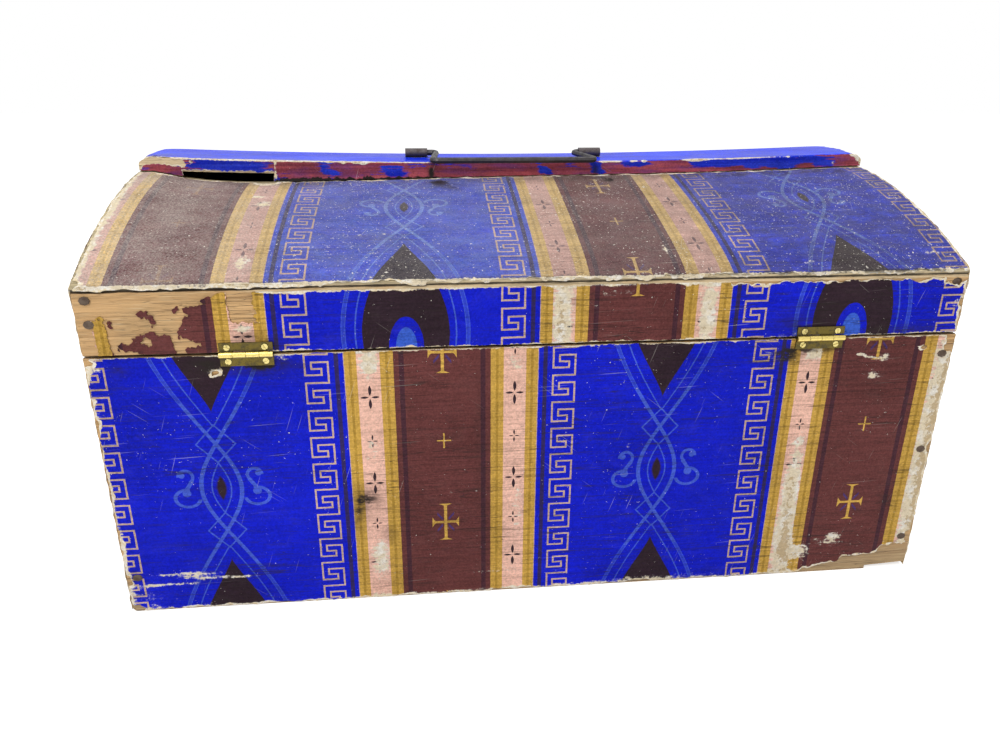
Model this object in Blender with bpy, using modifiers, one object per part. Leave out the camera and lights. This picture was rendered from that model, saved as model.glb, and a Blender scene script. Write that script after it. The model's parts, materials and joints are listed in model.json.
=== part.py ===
"""Dome-top dowry box: a papered pine box with a bent-panel lid, brass hinges and a wire bail handle.

Metres, +Z up. X runs along the length, the hinged back faces -Y and the front faces +Y.
The origin is in the middle of the underside.
"""

import math

import bmesh
import bpy
from mathutils import Matrix, Vector

# Boards of the body and the lid
LENGTH = 0.610
DEPTH = 0.400
BODY_HEIGHT = 0.2018
SEAM = 0.0012
RAIL_HEIGHT = 0.0422
BOARD = 0.012
BOTTOM_BOARD = 0.010
ARRIS = 0.0006
WORN_CORNER = 0.004
BROKEN_CORNER_LENGTH = 0.034
BROKEN_CORNER_HEIGHT = 0.005

# Dome: an arc that leaves the rail at a slope and runs in under the ridge board
PANEL = 0.0033
DOME_SLOPE = math.radians(28.5)
DOME_RADIUS = 0.4436
RIDGE_WIDTH = 0.066
RIDGE_THICKNESS = 0.010
RIDGE_TUCK = 0.006
RIDGE_SAG = 0.0056
PANEL_SLACK = 0.0065
DROP_DEPTH = 0.0075
DROP_PLACE = -0.225
DROP_END = 0.060

# Printed paper and the clearance that glued or touching pieces keep
PAPER = 0.0003
GAP = 0.0003

# Brass butt hinges
HINGE_SPACING = 0.400
HINGE_LENGTH = 0.035
LEAF_HEIGHT = 0.0082
LEAF = 0.0012
BARREL_RADIUS = 0.0021
PIN_RADIUS = 0.0010
KNUCKLES = 4
SCREW_SPACING = 0.0246
SCREW_HEIGHT = 0.0050
SCREW_HEAD_RADIUS = 0.0022
SCREW_HEAD_DEPTH = 0.0011
SCREW_HEAD_RISE = 0.0002
SCREW_SHANK_RADIUS = 0.0011
SCREW_LENGTH = 0.0100
SLOT_WIDTH = 0.0006
SLOT_DEPTH = 0.0005
SCREW_TURNS = (17, 62, 104, 148, 35, 81, 127, 160)

# Wire bail handle, its outline seen from above: x along the length, reach from its axis
WIRE_RADIUS = 0.0025
WIRE_BEND = 0.0045
HANDLE_REACH = 0.0445
HANDLE_TILT = math.radians(2.4)
LEFT_SLEEVE = -0.083
RIGHT_SLEEVE = 0.069
SLEEVE_LENGTH = 0.019
LEFT_NECK = -0.0655
LEFT_CORNER = -0.0705
RIGHT_CORNER = 0.0665
RIGHT_NECK = 0.0535
SLEEVE_WALL = 0.0009
STRAP = 0.0012
CLINCH = 0.007

# Nails through the long boards into the end boards: some show, some are set under the paper
NAIL_INSET = 0.008
NAIL_HEAD_RADIUS = 0.0029
NAIL_HEAD = 0.0010
NAIL_HEAD_OVAL = 1.25
NAIL_SHANK_RADIUS = 0.0011
NAIL_LENGTH = 0.026
NAIL_SET = 0.0015
LOW_NAIL = 0.030
HIGH_NAIL_DROP = 0.0148
RAIL_NAIL_DROP = 0.0042
RAIL_NAIL_SPACING = 0.016

# Hook on the front
HOOK_WIRE_RADIUS = 0.0014
HOOK_BELOW_SEAM = 0.022
CATCH_ABOVE_SEAM = 0.017
HOOK_NAIL_RADIUS = 0.0016
HOOK_NAIL_HEAD_RADIUS = 0.0042
HOOK_NAIL_HEAD = 0.0012
HOOK_NAIL_DEPTH = 0.0095
HOOK_EYE_SWEEP = math.radians(265)
HOOK_MOUTH = math.radians(100)

# Facets
ARC_STEPS = 10
SAG_STEPS = 28
ROUND_STEPS = 10
NAIL_STEPS = 8
BEND_STEPS = 5

# Places worked out from the sizes above
LID_BOTTOM = BODY_HEIGHT + SEAM
RAIL_TOP = LID_BOTTOM + RAIL_HEIGHT
DOME_START = RAIL_TOP + (PANEL + GAP) / math.cos(DOME_SLOPE)
DOME_CENTRE_Y = -DEPTH / 2 + DOME_RADIUS * math.sin(DOME_SLOPE)
DOME_CENTRE_Z = DOME_START - DOME_RADIUS * math.cos(DOME_SLOPE)
PANEL_END_Y = -RIDGE_WIDTH / 2 + RIDGE_TUCK
SPAN = LENGTH / 2 - BOARD
SKIN = GAP + PAPER + GAP
HINGE_AXIS_Y = -DEPTH / 2 - SKIN - BARREL_RADIUS
HINGE_AXIS_Z = BODY_HEIGHT + SEAM / 2
HALF_DEPTH = DEPTH / 2
HIGH_NAIL = BODY_HEIGHT - HIGH_NAIL_DROP
MIDDLE_NAIL = (LOW_NAIL + HIGH_NAIL) / 2
HIGH_RAIL_NAIL = RAIL_TOP - RAIL_NAIL_DROP
LOW_RAIL_NAIL = HIGH_RAIL_NAIL - RAIL_NAIL_SPACING


def arc_height(y, offset=0.0):
    """Height of the dome's outer surface over a place on the rear half, moved out by an offset."""
    radius = DOME_RADIUS + offset
    return DOME_CENTRE_Z + math.sqrt(radius ** 2 - (y - DOME_CENTRE_Y) ** 2)


def ridge_drop(x):
    """How far the ridge board has sagged between the end boards."""
    return RIDGE_SAG * max(0.0, 1.0 - (x / SPAN) ** 2)


def slack_drop(x):
    """How far a thin bent panel hangs down half way up, between the end boards that carry it."""
    return PANEL_SLACK * max(0.0, 1.0 - (x / SPAN) ** 2)


def panel_drop(x):
    """How far the rear panel's upper edge has sprung down from the ridge board."""
    along = (x + SPAN) / (DROP_END + SPAN)
    if not 0.0 < along < 1.0:
        return 0.0
    skew = math.log(0.5) / math.log((DROP_PLACE + SPAN) / (DROP_END + SPAN))
    return DROP_DEPTH * math.sin(math.pi * along ** skew) ** 2


RIDGE_BOTTOM = arc_height(PANEL_END_Y) + GAP
RIDGE_TOP = RIDGE_BOTTOM + RIDGE_THICKNESS
SLEEVE_BORE = WIRE_RADIUS + GAP
SLEEVE_RADIUS = SLEEVE_BORE + SLEEVE_WALL
SLEEVE_DROP = min(ridge_drop(LEFT_SLEEVE - SLEEVE_LENGTH / 2), ridge_drop(RIGHT_SLEEVE + SLEEVE_LENGTH / 2))
HANDLE_AXIS_Z = RIDGE_TOP - SLEEVE_DROP + SKIN + SLEEVE_RADIUS
HOOK_PIVOT_Z = BODY_HEIGHT - HOOK_BELOW_SEAM
HOOK_CATCH_Z = LID_BOTTOM + CATCH_ABOVE_SEAM
HOOK_Y = DEPTH / 2 + SKIN + HOOK_WIRE_RADIUS

# A clean start
for old in list(bpy.data.objects):
    bpy.data.objects.remove(old, do_unlink=True)

PARTS = bpy.data.collections.new("dowry_box")
CUTTERS = bpy.data.collections.new("cutters")
bpy.context.scene.collection.children.link(PARTS)
bpy.context.scene.collection.children.link(CUTTERS)


def finish(name, colour, roughness, metallic=0.0):
    """A plain finish for one kind of piece."""
    material = bpy.data.materials.new(name)
    material.use_nodes = True
    shader = material.node_tree.nodes["Principled BSDF"]
    shader.inputs["Base Color"].default_value = (*colour, 1.0)
    shader.inputs["Roughness"].default_value = roughness
    shader.inputs["Metallic"].default_value = metallic
    return material


PINE = finish("pine", (0.55, 0.36, 0.18), 0.7)
PANEL_BOARD = finish("panel_board", (0.62, 0.46, 0.27), 0.8)
BLUE_PAPER = finish("blue_paper", (0.020, 0.015, 0.45), 0.45)
FADED_PAPER = finish("faded_paper", (0.07, 0.09, 0.36), 0.6)
RIDGE_PAPER = finish("ridge_paper", (0.08, 0.12, 0.75), 0.3)
BRASS = finish("brass", (0.55, 0.40, 0.12), 0.35, 1.0)
IRON = finish("iron", (0.05, 0.04, 0.03), 0.55, 0.9)


def world_place(empty):
    """Where an empty stands, going up through its parents."""
    place = Vector((0, 0, 0))
    while empty:
        place += empty.location
        empty = empty.parent
    return place


def pivot(name, place, parent=None):
    """An empty on a joint's axis that carries a moving body."""
    empty = bpy.data.objects.new(name, None)
    empty.empty_display_size = 0.03
    PARTS.objects.link(empty)
    empty.parent = parent
    empty.location = Vector(place) - world_place(parent)
    return empty


BODY = pivot("body_pivot", (0, 0, 0))
LID = pivot("lid_pivot", (0, HINGE_AXIS_Y, HINGE_AXIS_Z), BODY)
HANDLE = pivot("handle_pivot", (0, 0, HANDLE_AXIS_Z), LID)
HOOK = pivot("hook_pivot", (0, HOOK_Y, HOOK_PIVOT_Z), BODY)


def place_part(name, data, material, parent, place=(0, 0, 0), turn=(0, 0, 0)):
    """Add one named piece, its place given in the box's own frame."""
    piece = bpy.data.objects.new(name, data)
    PARTS.objects.link(piece)
    if not data.materials:
        data.materials.append(material)
    piece.parent = parent
    piece.location = Vector(place) - world_place(parent)
    piece.rotation_euler = turn
    return piece


def place_cutter(name, data, place=(0, 0, 0), turn=(0, 0, 0)):
    """Add a cutter, which is never shown."""
    cutter = bpy.data.objects.new(name, data)
    CUTTERS.objects.link(cutter)
    cutter.location = place
    cutter.rotation_euler = turn
    cutter.hide_render = True
    cutter.display_type = "WIRE"
    return cutter


def cut(piece, *cutters):
    """Take cutters out of a piece."""
    for cutter in cutters:
        boolean = piece.modifiers.new("cut_" + cutter.name, "BOOLEAN")
        boolean.operation = "DIFFERENCE"
        boolean.object = cutter


def round_edges(piece, width=ARRIS):
    """Ease the arrises of a board."""
    bevel = piece.modifiers.new("arris", "BEVEL")
    bevel.width = width
    bevel.segments = 1
    bevel.limit_method = "ANGLE"


def block(*boxes):
    """A mesh of separate boxes, each given by its size and its centre."""
    mesh = bpy.data.meshes.new("block")
    shape = bmesh.new()
    for size, centre in boxes:
        matrix = Matrix.Translation(centre) @ Matrix.Diagonal((*size, 1.0))
        bmesh.ops.create_cube(shape, size=1.0, matrix=matrix)
    shape.to_mesh(mesh)
    shape.free()
    return mesh


def outline(splines, thickness):
    """A flat closed outline, with any holes, given thickness. It lies in XY."""
    curve = bpy.data.curves.new("outline", "CURVE")
    curve.dimensions = "2D"
    curve.fill_mode = "BOTH"
    curve.extrude = thickness / 2
    for points in splines:
        spline = curve.splines.new("POLY")
        spline.points.add(len(points) - 1)
        for point, (u, v) in zip(spline.points, points):
            point.co = (u, v, 0.0, 1.0)
        spline.use_cyclic_u = True
    return as_mesh(curve)


def as_mesh(data, *modifiers):
    """A plain welded mesh from a curve, or from a mesh with modifiers set by the given functions."""
    holder = bpy.data.objects.new("holder", data)
    bpy.context.scene.collection.objects.link(holder)
    for add_modifier in modifiers:
        add_modifier(holder)
    evaluated = holder.evaluated_get(bpy.context.evaluated_depsgraph_get())
    mesh = bpy.data.meshes.new_from_object(evaluated)
    bpy.data.objects.remove(holder, do_unlink=True)
    shape = bmesh.new()
    shape.from_mesh(mesh)
    bmesh.ops.remove_doubles(shape, verts=shape.verts, dist=1e-6)
    bmesh.ops.recalc_face_normals(shape, faces=shape.faces)
    shape.to_mesh(mesh)
    shape.free()
    return mesh


def wire(points, radius):
    """A round wire along points, with closed ends."""
    curve = bpy.data.curves.new("wire", "CURVE")
    curve.dimensions = "3D"
    curve.bevel_depth = radius
    curve.bevel_resolution = 2
    curve.use_fill_caps = True
    spline = curve.splines.new("POLY")
    spline.points.add(len(points) - 1)
    for point, place in zip(spline.points, points):
        point.co = (*place, 1.0)
    mesh = as_mesh(curve)
    mesh.shade_smooth()
    mesh.set_sharp_from_angle(angle=math.radians(40))
    return mesh


def turned(profile, steps=ROUND_STEPS):
    """A shape turned about Z from a profile that runs from the top down its outer side."""
    mesh = bpy.data.meshes.new("profile")
    edges = [(i, i + 1) for i in range(len(profile) - 1)]
    mesh.from_pydata([(radius, 0.0, height) for radius, height in profile], edges, [])

    def spin(holder):
        screw = holder.modifiers.new("turn", "SCREW")
        screw.steps = steps
        screw.render_steps = steps
        screw.use_merge_vertices = True
        screw.merge_threshold = 0.00001

    solid = as_mesh(mesh, spin)
    solid.shade_smooth()
    solid.set_sharp_from_angle(angle=math.radians(35))
    return solid


def joined(mesh, places, turn):
    """Copies of one mesh at several places, turned alike, as a single cutter mesh."""
    shape = bmesh.new()
    for place in places:
        start = len(shape.verts)
        shape.from_mesh(mesh)
        shape.verts.ensure_lookup_table()
        moved = Matrix.Translation(place) @ turn
        bmesh.ops.transform(shape, matrix=moved, verts=shape.verts[start:])
    result = bpy.data.meshes.new("joined")
    shape.to_mesh(result)
    shape.free()
    return result


def arc(centre, radius, start, end, steps):
    """Points on an arc, both ends included."""
    turn = (end - start) / steps
    angles = [start + turn * i for i in range(steps + 1)]
    return [(centre[0] + radius * math.cos(a), centre[1] + radius * math.sin(a)) for a in angles]


def rounded_path(points, radius):
    """A path whose inner corners are bent to a radius."""
    path = [Vector(points[0])]
    for before, corner, after in zip(points, points[1:], points[2:]):
        corner = Vector(corner)
        back = (Vector(before) - corner).normalized()
        ahead = (Vector(after) - corner).normalized()
        half = back.angle(ahead) / 2
        middle = corner + (back + ahead).normalized() * radius / math.sin(half)
        first = (corner + back * radius / math.tan(half) - middle).normalized()
        last = (corner + ahead * radius / math.tan(half) - middle).normalized()
        for i in range(BEND_STEPS + 1):
            path.append(middle + first.slerp(last, i / BEND_STEPS) * radius)
    path.append(Vector(points[-1]))
    return path


def long_strip(section, drop):
    """A strip along the length over a YZ section of (y, z, share of the drop, share of the slack) points."""
    sagging = [SPAN * (2 * i / SAG_STEPS - 1) for i in range(SAG_STEPS + 1)]
    xs = [-LENGTH / 2] + sagging + [LENGTH / 2]
    mesh = bpy.data.meshes.new("strip")
    shape = bmesh.new()
    bmesh.ops.create_grid(shape, x_segments=len(xs) - 1, y_segments=len(section) - 1, size=0.5)
    shape.verts.ensure_lookup_table()
    for index, vert in enumerate(shape.verts):
        y, z, share, slack = section[index // len(xs)]
        x = xs[index % len(xs)]
        vert.co = (x, y, z - share * drop(x) - slack * slack_drop(x))
    shape.normal_update()
    shape.to_mesh(mesh)
    shape.free()
    return mesh


def thicken(piece, thickness, side):
    """Give an open strip its thickness, to the side that its faces show (1) or hide (-1)."""
    solidify = piece.modifiers.new("thickness", "SOLIDIFY")
    solidify.thickness = thickness
    solidify.offset = side
    solidify.use_even_offset = True


# Cutters for screws and nails

TO_BACK = Matrix.Rotation(math.radians(90), 4, "X")
TO_FRONT = Matrix.Rotation(math.radians(-90), 4, "X")


def screw_profile(clear, above):
    """A countersunk screw from its head down, made wider all round by a clearance."""
    head = SCREW_HEAD_RADIUS + clear
    shank = SCREW_SHANK_RADIUS + clear
    neck = -SCREW_HEAD_DEPTH - clear
    return [(0, above), (head, above), (head, 0), (shank, neck), (shank, -SCREW_LENGTH * 0.7),
            (0, -SCREW_LENGTH - clear)]


def nail_profile(clear, above):
    """A nail with a flat forged head, made wider all round by a clearance."""
    head = NAIL_HEAD_RADIUS + clear
    shank = NAIL_SHANK_RADIUS + clear
    under = -clear / 2
    return [(0, above), (head * 0.7, above), (head, above * 0.6), (head, under), (shank, under),
            (shank, -NAIL_LENGTH * 0.8), (0, -NAIL_LENGTH - clear)]


def hook_nail_profile():
    """A nail with a domed head that stands off the front far enough to hold the hook's wire."""
    head = HOOK_NAIL_HEAD_RADIUS
    shank = HOOK_NAIL_RADIUS
    top = HOOK_NAIL_HEAD
    under = SKIN + 2 * HOOK_WIRE_RADIUS + GAP
    return [(0, under + top), (head * 0.6, under + top * 0.8), (head, under), (shank, under),
            (shank, -HOOK_NAIL_DEPTH * 0.7), (0, -HOOK_NAIL_DEPTH)]


def straight_profile(radius, top, bottom):
    """A plain round hole."""
    return [(0, top), (radius, top), (radius, bottom), (0, bottom)]


SCREW_SEAT = -HALF_DEPTH - SKIN - LEAF
OVERCUT = 0.004
HINGE_XS = {"left": -HINGE_SPACING / 2, "right": HINGE_SPACING / 2}
SCREW_XS = (-SCREW_SPACING / 2, SCREW_SPACING / 2)
SCREW_SIDES = {"lid": 1, "body": -1}


def screw_place(hinge_x, x, side):
    return Vector((hinge_x + x, SCREW_SEAT, HINGE_AXIS_Z + side * SCREW_HEIGHT))


SCREW_PLACES = {
    side: [screw_place(hinge_x, x, sign) for hinge_x in HINGE_XS.values() for x in SCREW_XS]
    for side, sign in SCREW_SIDES.items()
}
screw_hole = turned(screw_profile(GAP, OVERCUT))
SCREW_HOLES = {
    side: place_cutter(side + "_screw_holes", joined(screw_hole, places, TO_BACK))
    for side, places in SCREW_PLACES.items()
}

LEFT_NAIL_X = -LENGTH / 2 + NAIL_INSET
RIGHT_NAIL_X = LENGTH / 2 - NAIL_INSET
SHOWN_SEAT = HALF_DEPTH + GAP
SET_SEAT = HALF_DEPTH - NAIL_SET
OVAL = Matrix.Diagonal((NAIL_HEAD_OVAL, 1.0, 1.0, 1.0))
BACK_SHOWN_NAILS = {
    "nail_back_left_low": (LEFT_NAIL_X, LOW_NAIL),
    "nail_back_right_low": (RIGHT_NAIL_X, LOW_NAIL),
    "nail_back_right_middle": (RIGHT_NAIL_X, MIDDLE_NAIL),
    "nail_back_right_high": (RIGHT_NAIL_X, HIGH_NAIL),
}
BACK_SET_NAILS = {
    "nail_back_left_middle": (LEFT_NAIL_X, MIDDLE_NAIL),
    "nail_back_left_high": (LEFT_NAIL_X, HIGH_NAIL),
}
RAIL_SHOWN_NAILS = {
    "nail_rail_left_low": (LEFT_NAIL_X, LOW_RAIL_NAIL),
    "nail_rail_left_high": (LEFT_NAIL_X, HIGH_RAIL_NAIL),
}
RAIL_SET_NAILS = {
    "nail_rail_right_low": (RIGHT_NAIL_X, LOW_RAIL_NAIL),
    "nail_rail_right_high": (RIGHT_NAIL_X, HIGH_RAIL_NAIL),
}
FRONT_SET_NAILS = {
    "nail_front_left_low": (LEFT_NAIL_X, LOW_NAIL),
    "nail_front_left_high": (LEFT_NAIL_X, HIGH_NAIL),
    "nail_front_right_low": (RIGHT_NAIL_X, LOW_NAIL),
    "nail_front_right_high": (RIGHT_NAIL_X, HIGH_NAIL),
}
FRONT_RAIL_NAILS = {
    "nail_front_rail_left": (LEFT_NAIL_X, LOW_RAIL_NAIL),
    "nail_front_rail_right": (RIGHT_NAIL_X, LOW_RAIL_NAIL),
}
nail_hole = turned(nail_profile(GAP, OVERCUT), NAIL_STEPS)
nail_mesh = turned(nail_profile(0.0, NAIL_HEAD), NAIL_STEPS)


def nail_group(name, nails, seat, sign, parent):
    """Nails in one face of the box, with the cutter for their holes."""
    turn = TO_FRONT if sign > 0 else TO_BACK
    for nail, (x, z) in nails.items():
        piece = place_part(nail, nail_mesh, IRON, parent, (x, sign * seat, z), turn.to_euler())
        piece.scale = (NAIL_HEAD_OVAL, 1.0, 1.0)
    places = [Vector((x, sign * seat, z)) for x, z in nails.values()]
    return place_cutter(name, joined(nail_hole, places, turn @ OVAL))


BACK_SHOWN = nail_group("back_shown_holes", BACK_SHOWN_NAILS, SHOWN_SEAT, -1, BODY)
BACK_SET = nail_group("back_set_holes", BACK_SET_NAILS, SET_SEAT, -1, BODY)
RAIL_SHOWN = nail_group("rail_shown_holes", RAIL_SHOWN_NAILS, SHOWN_SEAT, -1, LID)
RAIL_SET = nail_group("rail_set_holes", RAIL_SET_NAILS, SET_SEAT, -1, LID)
FRONT_SET = nail_group("front_set_holes", FRONT_SET_NAILS, SET_SEAT, 1, BODY)
FRONT_RAIL_SET = nail_group("front_rail_holes", FRONT_RAIL_NAILS, SET_SEAT, 1, LID)

hook_hole = turned(straight_profile(HOOK_NAIL_RADIUS + GAP, OVERCUT, -HOOK_NAIL_DEPTH - GAP))
hook_turn = (math.radians(-90), 0, 0)
HOOK_HOLE = place_cutter("hook_hole", hook_hole, (0, HALF_DEPTH, HOOK_PIVOT_Z), hook_turn)
CATCH_HOLE = place_cutter("catch_hole", hook_hole, (0, HALF_DEPTH, HOOK_CATCH_Z), hook_turn)


# Body boards

def worn_outline(bottom):
    """The back board from behind: rounded lower left corner, lower right corner broken away."""
    left, right = -LENGTH / 2, LENGTH / 2
    centre = (left + WORN_CORNER, bottom + WORN_CORNER)
    corner = arc(centre, WORN_CORNER, math.pi, 1.5 * math.pi, BEND_STEPS)
    break_x = right - BROKEN_CORNER_LENGTH
    step = bottom + BROKEN_CORNER_HEIGHT * 0.6
    broken = [(break_x, bottom), (break_x, step), (right, bottom + BROKEN_CORNER_HEIGHT)]
    return corner + broken + [(right, BODY_HEIGHT), (left, BODY_HEIGHT)]


def build_body():
    """Long boards over the ends of the short ones, with the bottom board let in between."""
    upright = (math.radians(90), 0, 0)
    back_mesh = outline([worn_outline(0.0)], BOARD)
    middle = HALF_DEPTH - BOARD / 2
    back = place_part("body_back_board", back_mesh, PINE, BODY, (0, -middle, 0), upright)
    round_edges(back)
    cut(back, SCREW_HOLES["body"], BACK_SHOWN, BACK_SET)

    front_mesh = block(((LENGTH, BOARD, BODY_HEIGHT), (0, 0, 0)))
    front = place_part("body_front_board", front_mesh, PINE, BODY, (0, middle, BODY_HEIGHT / 2))
    round_edges(front)
    cut(front, HOOK_HOLE, FRONT_SET)

    end_depth = DEPTH - 2 * BOARD - 2 * GAP
    end_x = LENGTH / 2 - BOARD / 2
    for side, sign in (("left", -1), ("right", 1)):
        end_mesh = block(((BOARD, end_depth, BODY_HEIGHT), (0, 0, 0)))
        end = place_part("body_" + side + "_end", end_mesh, PINE, BODY, (sign * end_x, 0, BODY_HEIGHT / 2))
        round_edges(end)
        cut(end, BACK_SHOWN, BACK_SET, FRONT_SET)

    inner_length = LENGTH - 2 * BOARD - 2 * GAP
    bottom_mesh = block(((inner_length, end_depth, BOTTOM_BOARD), (0, 0, 0)))
    bottom = place_part("body_bottom_board", bottom_mesh, PINE, BODY, (0, 0, BOTTOM_BOARD / 2))
    round_edges(bottom)


# Lid boards

def rail_outline(sign):
    """Section of a lid rail in YZ, its top bevelled to the slope of the panel that lies on it."""
    inner = HALF_DEPTH - BOARD
    inner_top = RAIL_TOP + BOARD * math.tan(DOME_SLOPE)
    section = [(HALF_DEPTH, LID_BOTTOM), (HALF_DEPTH, RAIL_TOP), (inner, inner_top), (inner, LID_BOTTOM)]
    return [(sign * y, z) for y, z in section]


def lid_end_outline():
    """An arched end board in YZ: bent panels lie on its arcs, the ridge board on the flat between them."""
    edge = HALF_DEPTH - BOARD - GAP
    step = -PANEL_END_Y - 3 * GAP
    under = -PANEL - GAP
    ys = [-edge + (edge - step) * i / ARC_STEPS for i in range(ARC_STEPS + 1)]
    rear = [(y, arc_height(y, under)) for y in ys]
    flat = RIDGE_BOTTOM - GAP
    half = [(-edge, LID_BOTTOM)] + rear + [(-step, flat)]
    return half + [(-y, z) for y, z in reversed(half)]


YZ_PLANE = (math.radians(90), 0, math.radians(90))


def arc_stations():
    """Places in Y where the dome's facets meet: over the rail, then evenly up to the panel's end."""
    seat = -HALF_DEPTH + BOARD + GAP
    run = PANEL_END_Y - seat
    return [-HALF_DEPTH] + [seat + run * i / (ARC_STEPS - 1) for i in range(ARC_STEPS)]


def panel_section(offset, end_y):
    """Section of the rear dome surface up to an end, each point with its shares of the sag and the slack."""
    stations = arc_stations()
    seat = stations[1]
    section = []
    for y in stations:
        along = (y + HALF_DEPTH) / (PANEL_END_Y + HALF_DEPTH)
        hang = max(0.0, (y - seat) / (PANEL_END_Y - seat))
        section.append((y, arc_height(y, offset), along ** 2, math.sin(math.pi * hang)))
    before, last = section[-2:]
    share = (end_y - before[0]) / (last[0] - before[0])
    section[-1] = tuple(a + (b - a) * share for a, b in zip(before, last))
    return section


def to_front(section):
    """The same section on the front half, still running from the back to the front."""
    return [(-y, z, share, slack) for y, z, share, slack in reversed(section)]


def rear_drop(x):
    return ridge_drop(x) + panel_drop(x)


def ridge_section(lift):
    """Top and sides of the ridge board, moved out by a lift."""
    half = RIDGE_WIDTH / 2 + lift
    top = RIDGE_TOP + lift
    flange = RIDGE_BOTTOM + 2 * GAP
    corners = ((-half, flange), (-half, top), (half, top), (half, flange))
    return [(y, z, 1.0, 0.0) for y, z in corners]


def build_lid():
    """Rails, arched ends, bent panels and the ridge board."""
    for name, sign in (("lid_back_rail", -1), ("lid_front_rail", 1)):
        rail = place_part(name, outline([rail_outline(sign)], LENGTH), PINE, LID, (0, 0, 0), YZ_PLANE)
        round_edges(rail)
        if sign < 0:
            cut(rail, SCREW_HOLES["lid"], RAIL_SHOWN, RAIL_SET)
        else:
            cut(rail, CATCH_HOLE, FRONT_RAIL_SET)

    end_x = LENGTH / 2 - BOARD / 2
    for side, sign in (("left", -1), ("right", 1)):
        end_mesh = outline([lid_end_outline()], BOARD)
        end = place_part("lid_" + side + "_end", end_mesh, PINE, LID, (sign * end_x, 0, 0), YZ_PLANE)
        cut(end, RAIL_SHOWN, RAIL_SET, FRONT_RAIL_SET)

    section = panel_section(0.0, PANEL_END_Y)
    rear = place_part("dome_rear_panel", long_strip(section, rear_drop), PANEL_BOARD, LID)
    thicken(rear, PANEL, -1)
    front = place_part("dome_front_panel", long_strip(to_front(section), ridge_drop), PANEL_BOARD, LID)
    thicken(front, PANEL, -1)

    ridge_top = [(y, RIDGE_TOP, 1.0, 0.0) for y in (-RIDGE_WIDTH / 2, RIDGE_WIDTH / 2)]
    ridge = place_part("ridge_board", long_strip(ridge_top, ridge_drop), PINE, LID)
    thicken(ridge, RIDGE_THICKNESS, -1)
    cut(ridge, *LOOP_SLOTS)


# Paper

def flat_paper(name, size, place, parent, material=BLUE_PAPER):
    return place_part(name, block((size, (0, 0, 0))), material, parent, place)


def build_paper():
    """Printed sheets pasted over the boards, the ends, the dome and the ridge board."""
    face = HALF_DEPTH + GAP + PAPER / 2
    tall = BODY_HEIGHT - 2 * GAP
    upright = (math.radians(90), 0, 0)
    back = place_part("body_back_paper", outline([worn_outline(GAP)], PAPER), BLUE_PAPER, BODY,
                      (0, -face, 0), upright)
    cut(back, SCREW_HOLES["body"], BACK_SHOWN)
    front = flat_paper("body_front_paper", (LENGTH, PAPER, tall), (0, face, BODY_HEIGHT / 2), BODY)
    cut(front, HOOK_HOLE)

    rail_size = (LENGTH, PAPER, RAIL_HEIGHT - 2 * GAP)
    rail_z = LID_BOTTOM + RAIL_HEIGHT / 2
    rail = flat_paper("lid_back_paper", rail_size, (0, -face, rail_z), LID)
    cut(rail, SCREW_HOLES["lid"], RAIL_SHOWN)
    rail = flat_paper("lid_front_paper", rail_size, (0, face, rail_z), LID)
    cut(rail, CATCH_HOLE)

    end_x = LENGTH / 2 + GAP + PAPER / 2
    for side, sign in (("left", -1), ("right", 1)):
        place = (sign * end_x, 0, BODY_HEIGHT / 2)
        flat_paper("body_" + side + "_paper", (PAPER, DEPTH, tall), place, BODY)
        sheet = outline([end_paper_outline()], PAPER)
        place_part("lid_" + side + "_paper", sheet, BLUE_PAPER, LID, (sign * end_x, 0, 0), YZ_PLANE)

    section = panel_section(GAP, -RIDGE_WIDTH / 2 - SKIN - GAP)
    rear = place_part("dome_rear_paper", long_strip(section, rear_drop), FADED_PAPER, LID)
    thicken(rear, PAPER, 1)
    front = place_part("dome_front_paper", long_strip(to_front(section), ridge_drop), FADED_PAPER, LID)
    thicken(front, PAPER, 1)

    wrap = long_strip(ridge_section(GAP), ridge_drop)
    ridge = place_part("ridge_paper", wrap, RIDGE_PAPER, LID)
    thicken(ridge, PAPER, 1)
    cut(ridge, *LOOP_SLOTS)


def end_paper_outline():
    """Paper on an end of the lid, up to the edge of the bent panels."""
    half = [(-HALF_DEPTH, LID_BOTTOM + GAP)] + [(y, arc_height(y)) for y in arc_stations()]
    return half + [(-y, z) for y, z in reversed(half)]


# Hinges

def leaf_outline(sign):
    """Section of a leaf in YZ about the hinge's axis: a plate curled round the pin."""
    plate_y = BARREL_RADIUS - LEAF
    curl = math.acos(plate_y / BARREL_RADIUS)
    top = [(BARREL_RADIUS, LEAF_HEIGHT), (plate_y, LEAF_HEIGHT)]
    barrel = arc((0, 0), BARREL_RADIUS, curl, 2 * math.pi, ROUND_STEPS)
    return [(y, sign * z) for y, z in top + barrel]


def knuckle_windows(hinge_x, sign):
    """Room in one leaf for the knuckles of the other."""
    pitch = HINGE_LENGTH / KNUCKLES
    first = 1 if sign > 0 else 0
    reach = BARREL_RADIUS + OVERCUT
    clear = BARREL_RADIUS + 2 * GAP
    boxes = []
    for knuckle in range(first, KNUCKLES, 2):
        left = knuckle * pitch - HINGE_LENGTH / 2
        low = left - (GAP / 2 if knuckle else OVERCUT)
        high = left + pitch + (GAP / 2 if knuckle < KNUCKLES - 1 else OVERCUT)
        size = (high - low, 2 * reach, reach + clear)
        middle_z = sign * (clear - reach) / 2
        boxes.append((size, ((low + high) / 2, 0, middle_z)))
    name = "windows_" + ("left" if hinge_x < 0 else "right") + ("_lid" if sign > 0 else "_body")
    return place_cutter(name, block(*boxes), (hinge_x, HINGE_AXIS_Y, HINGE_AXIS_Z))


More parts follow.
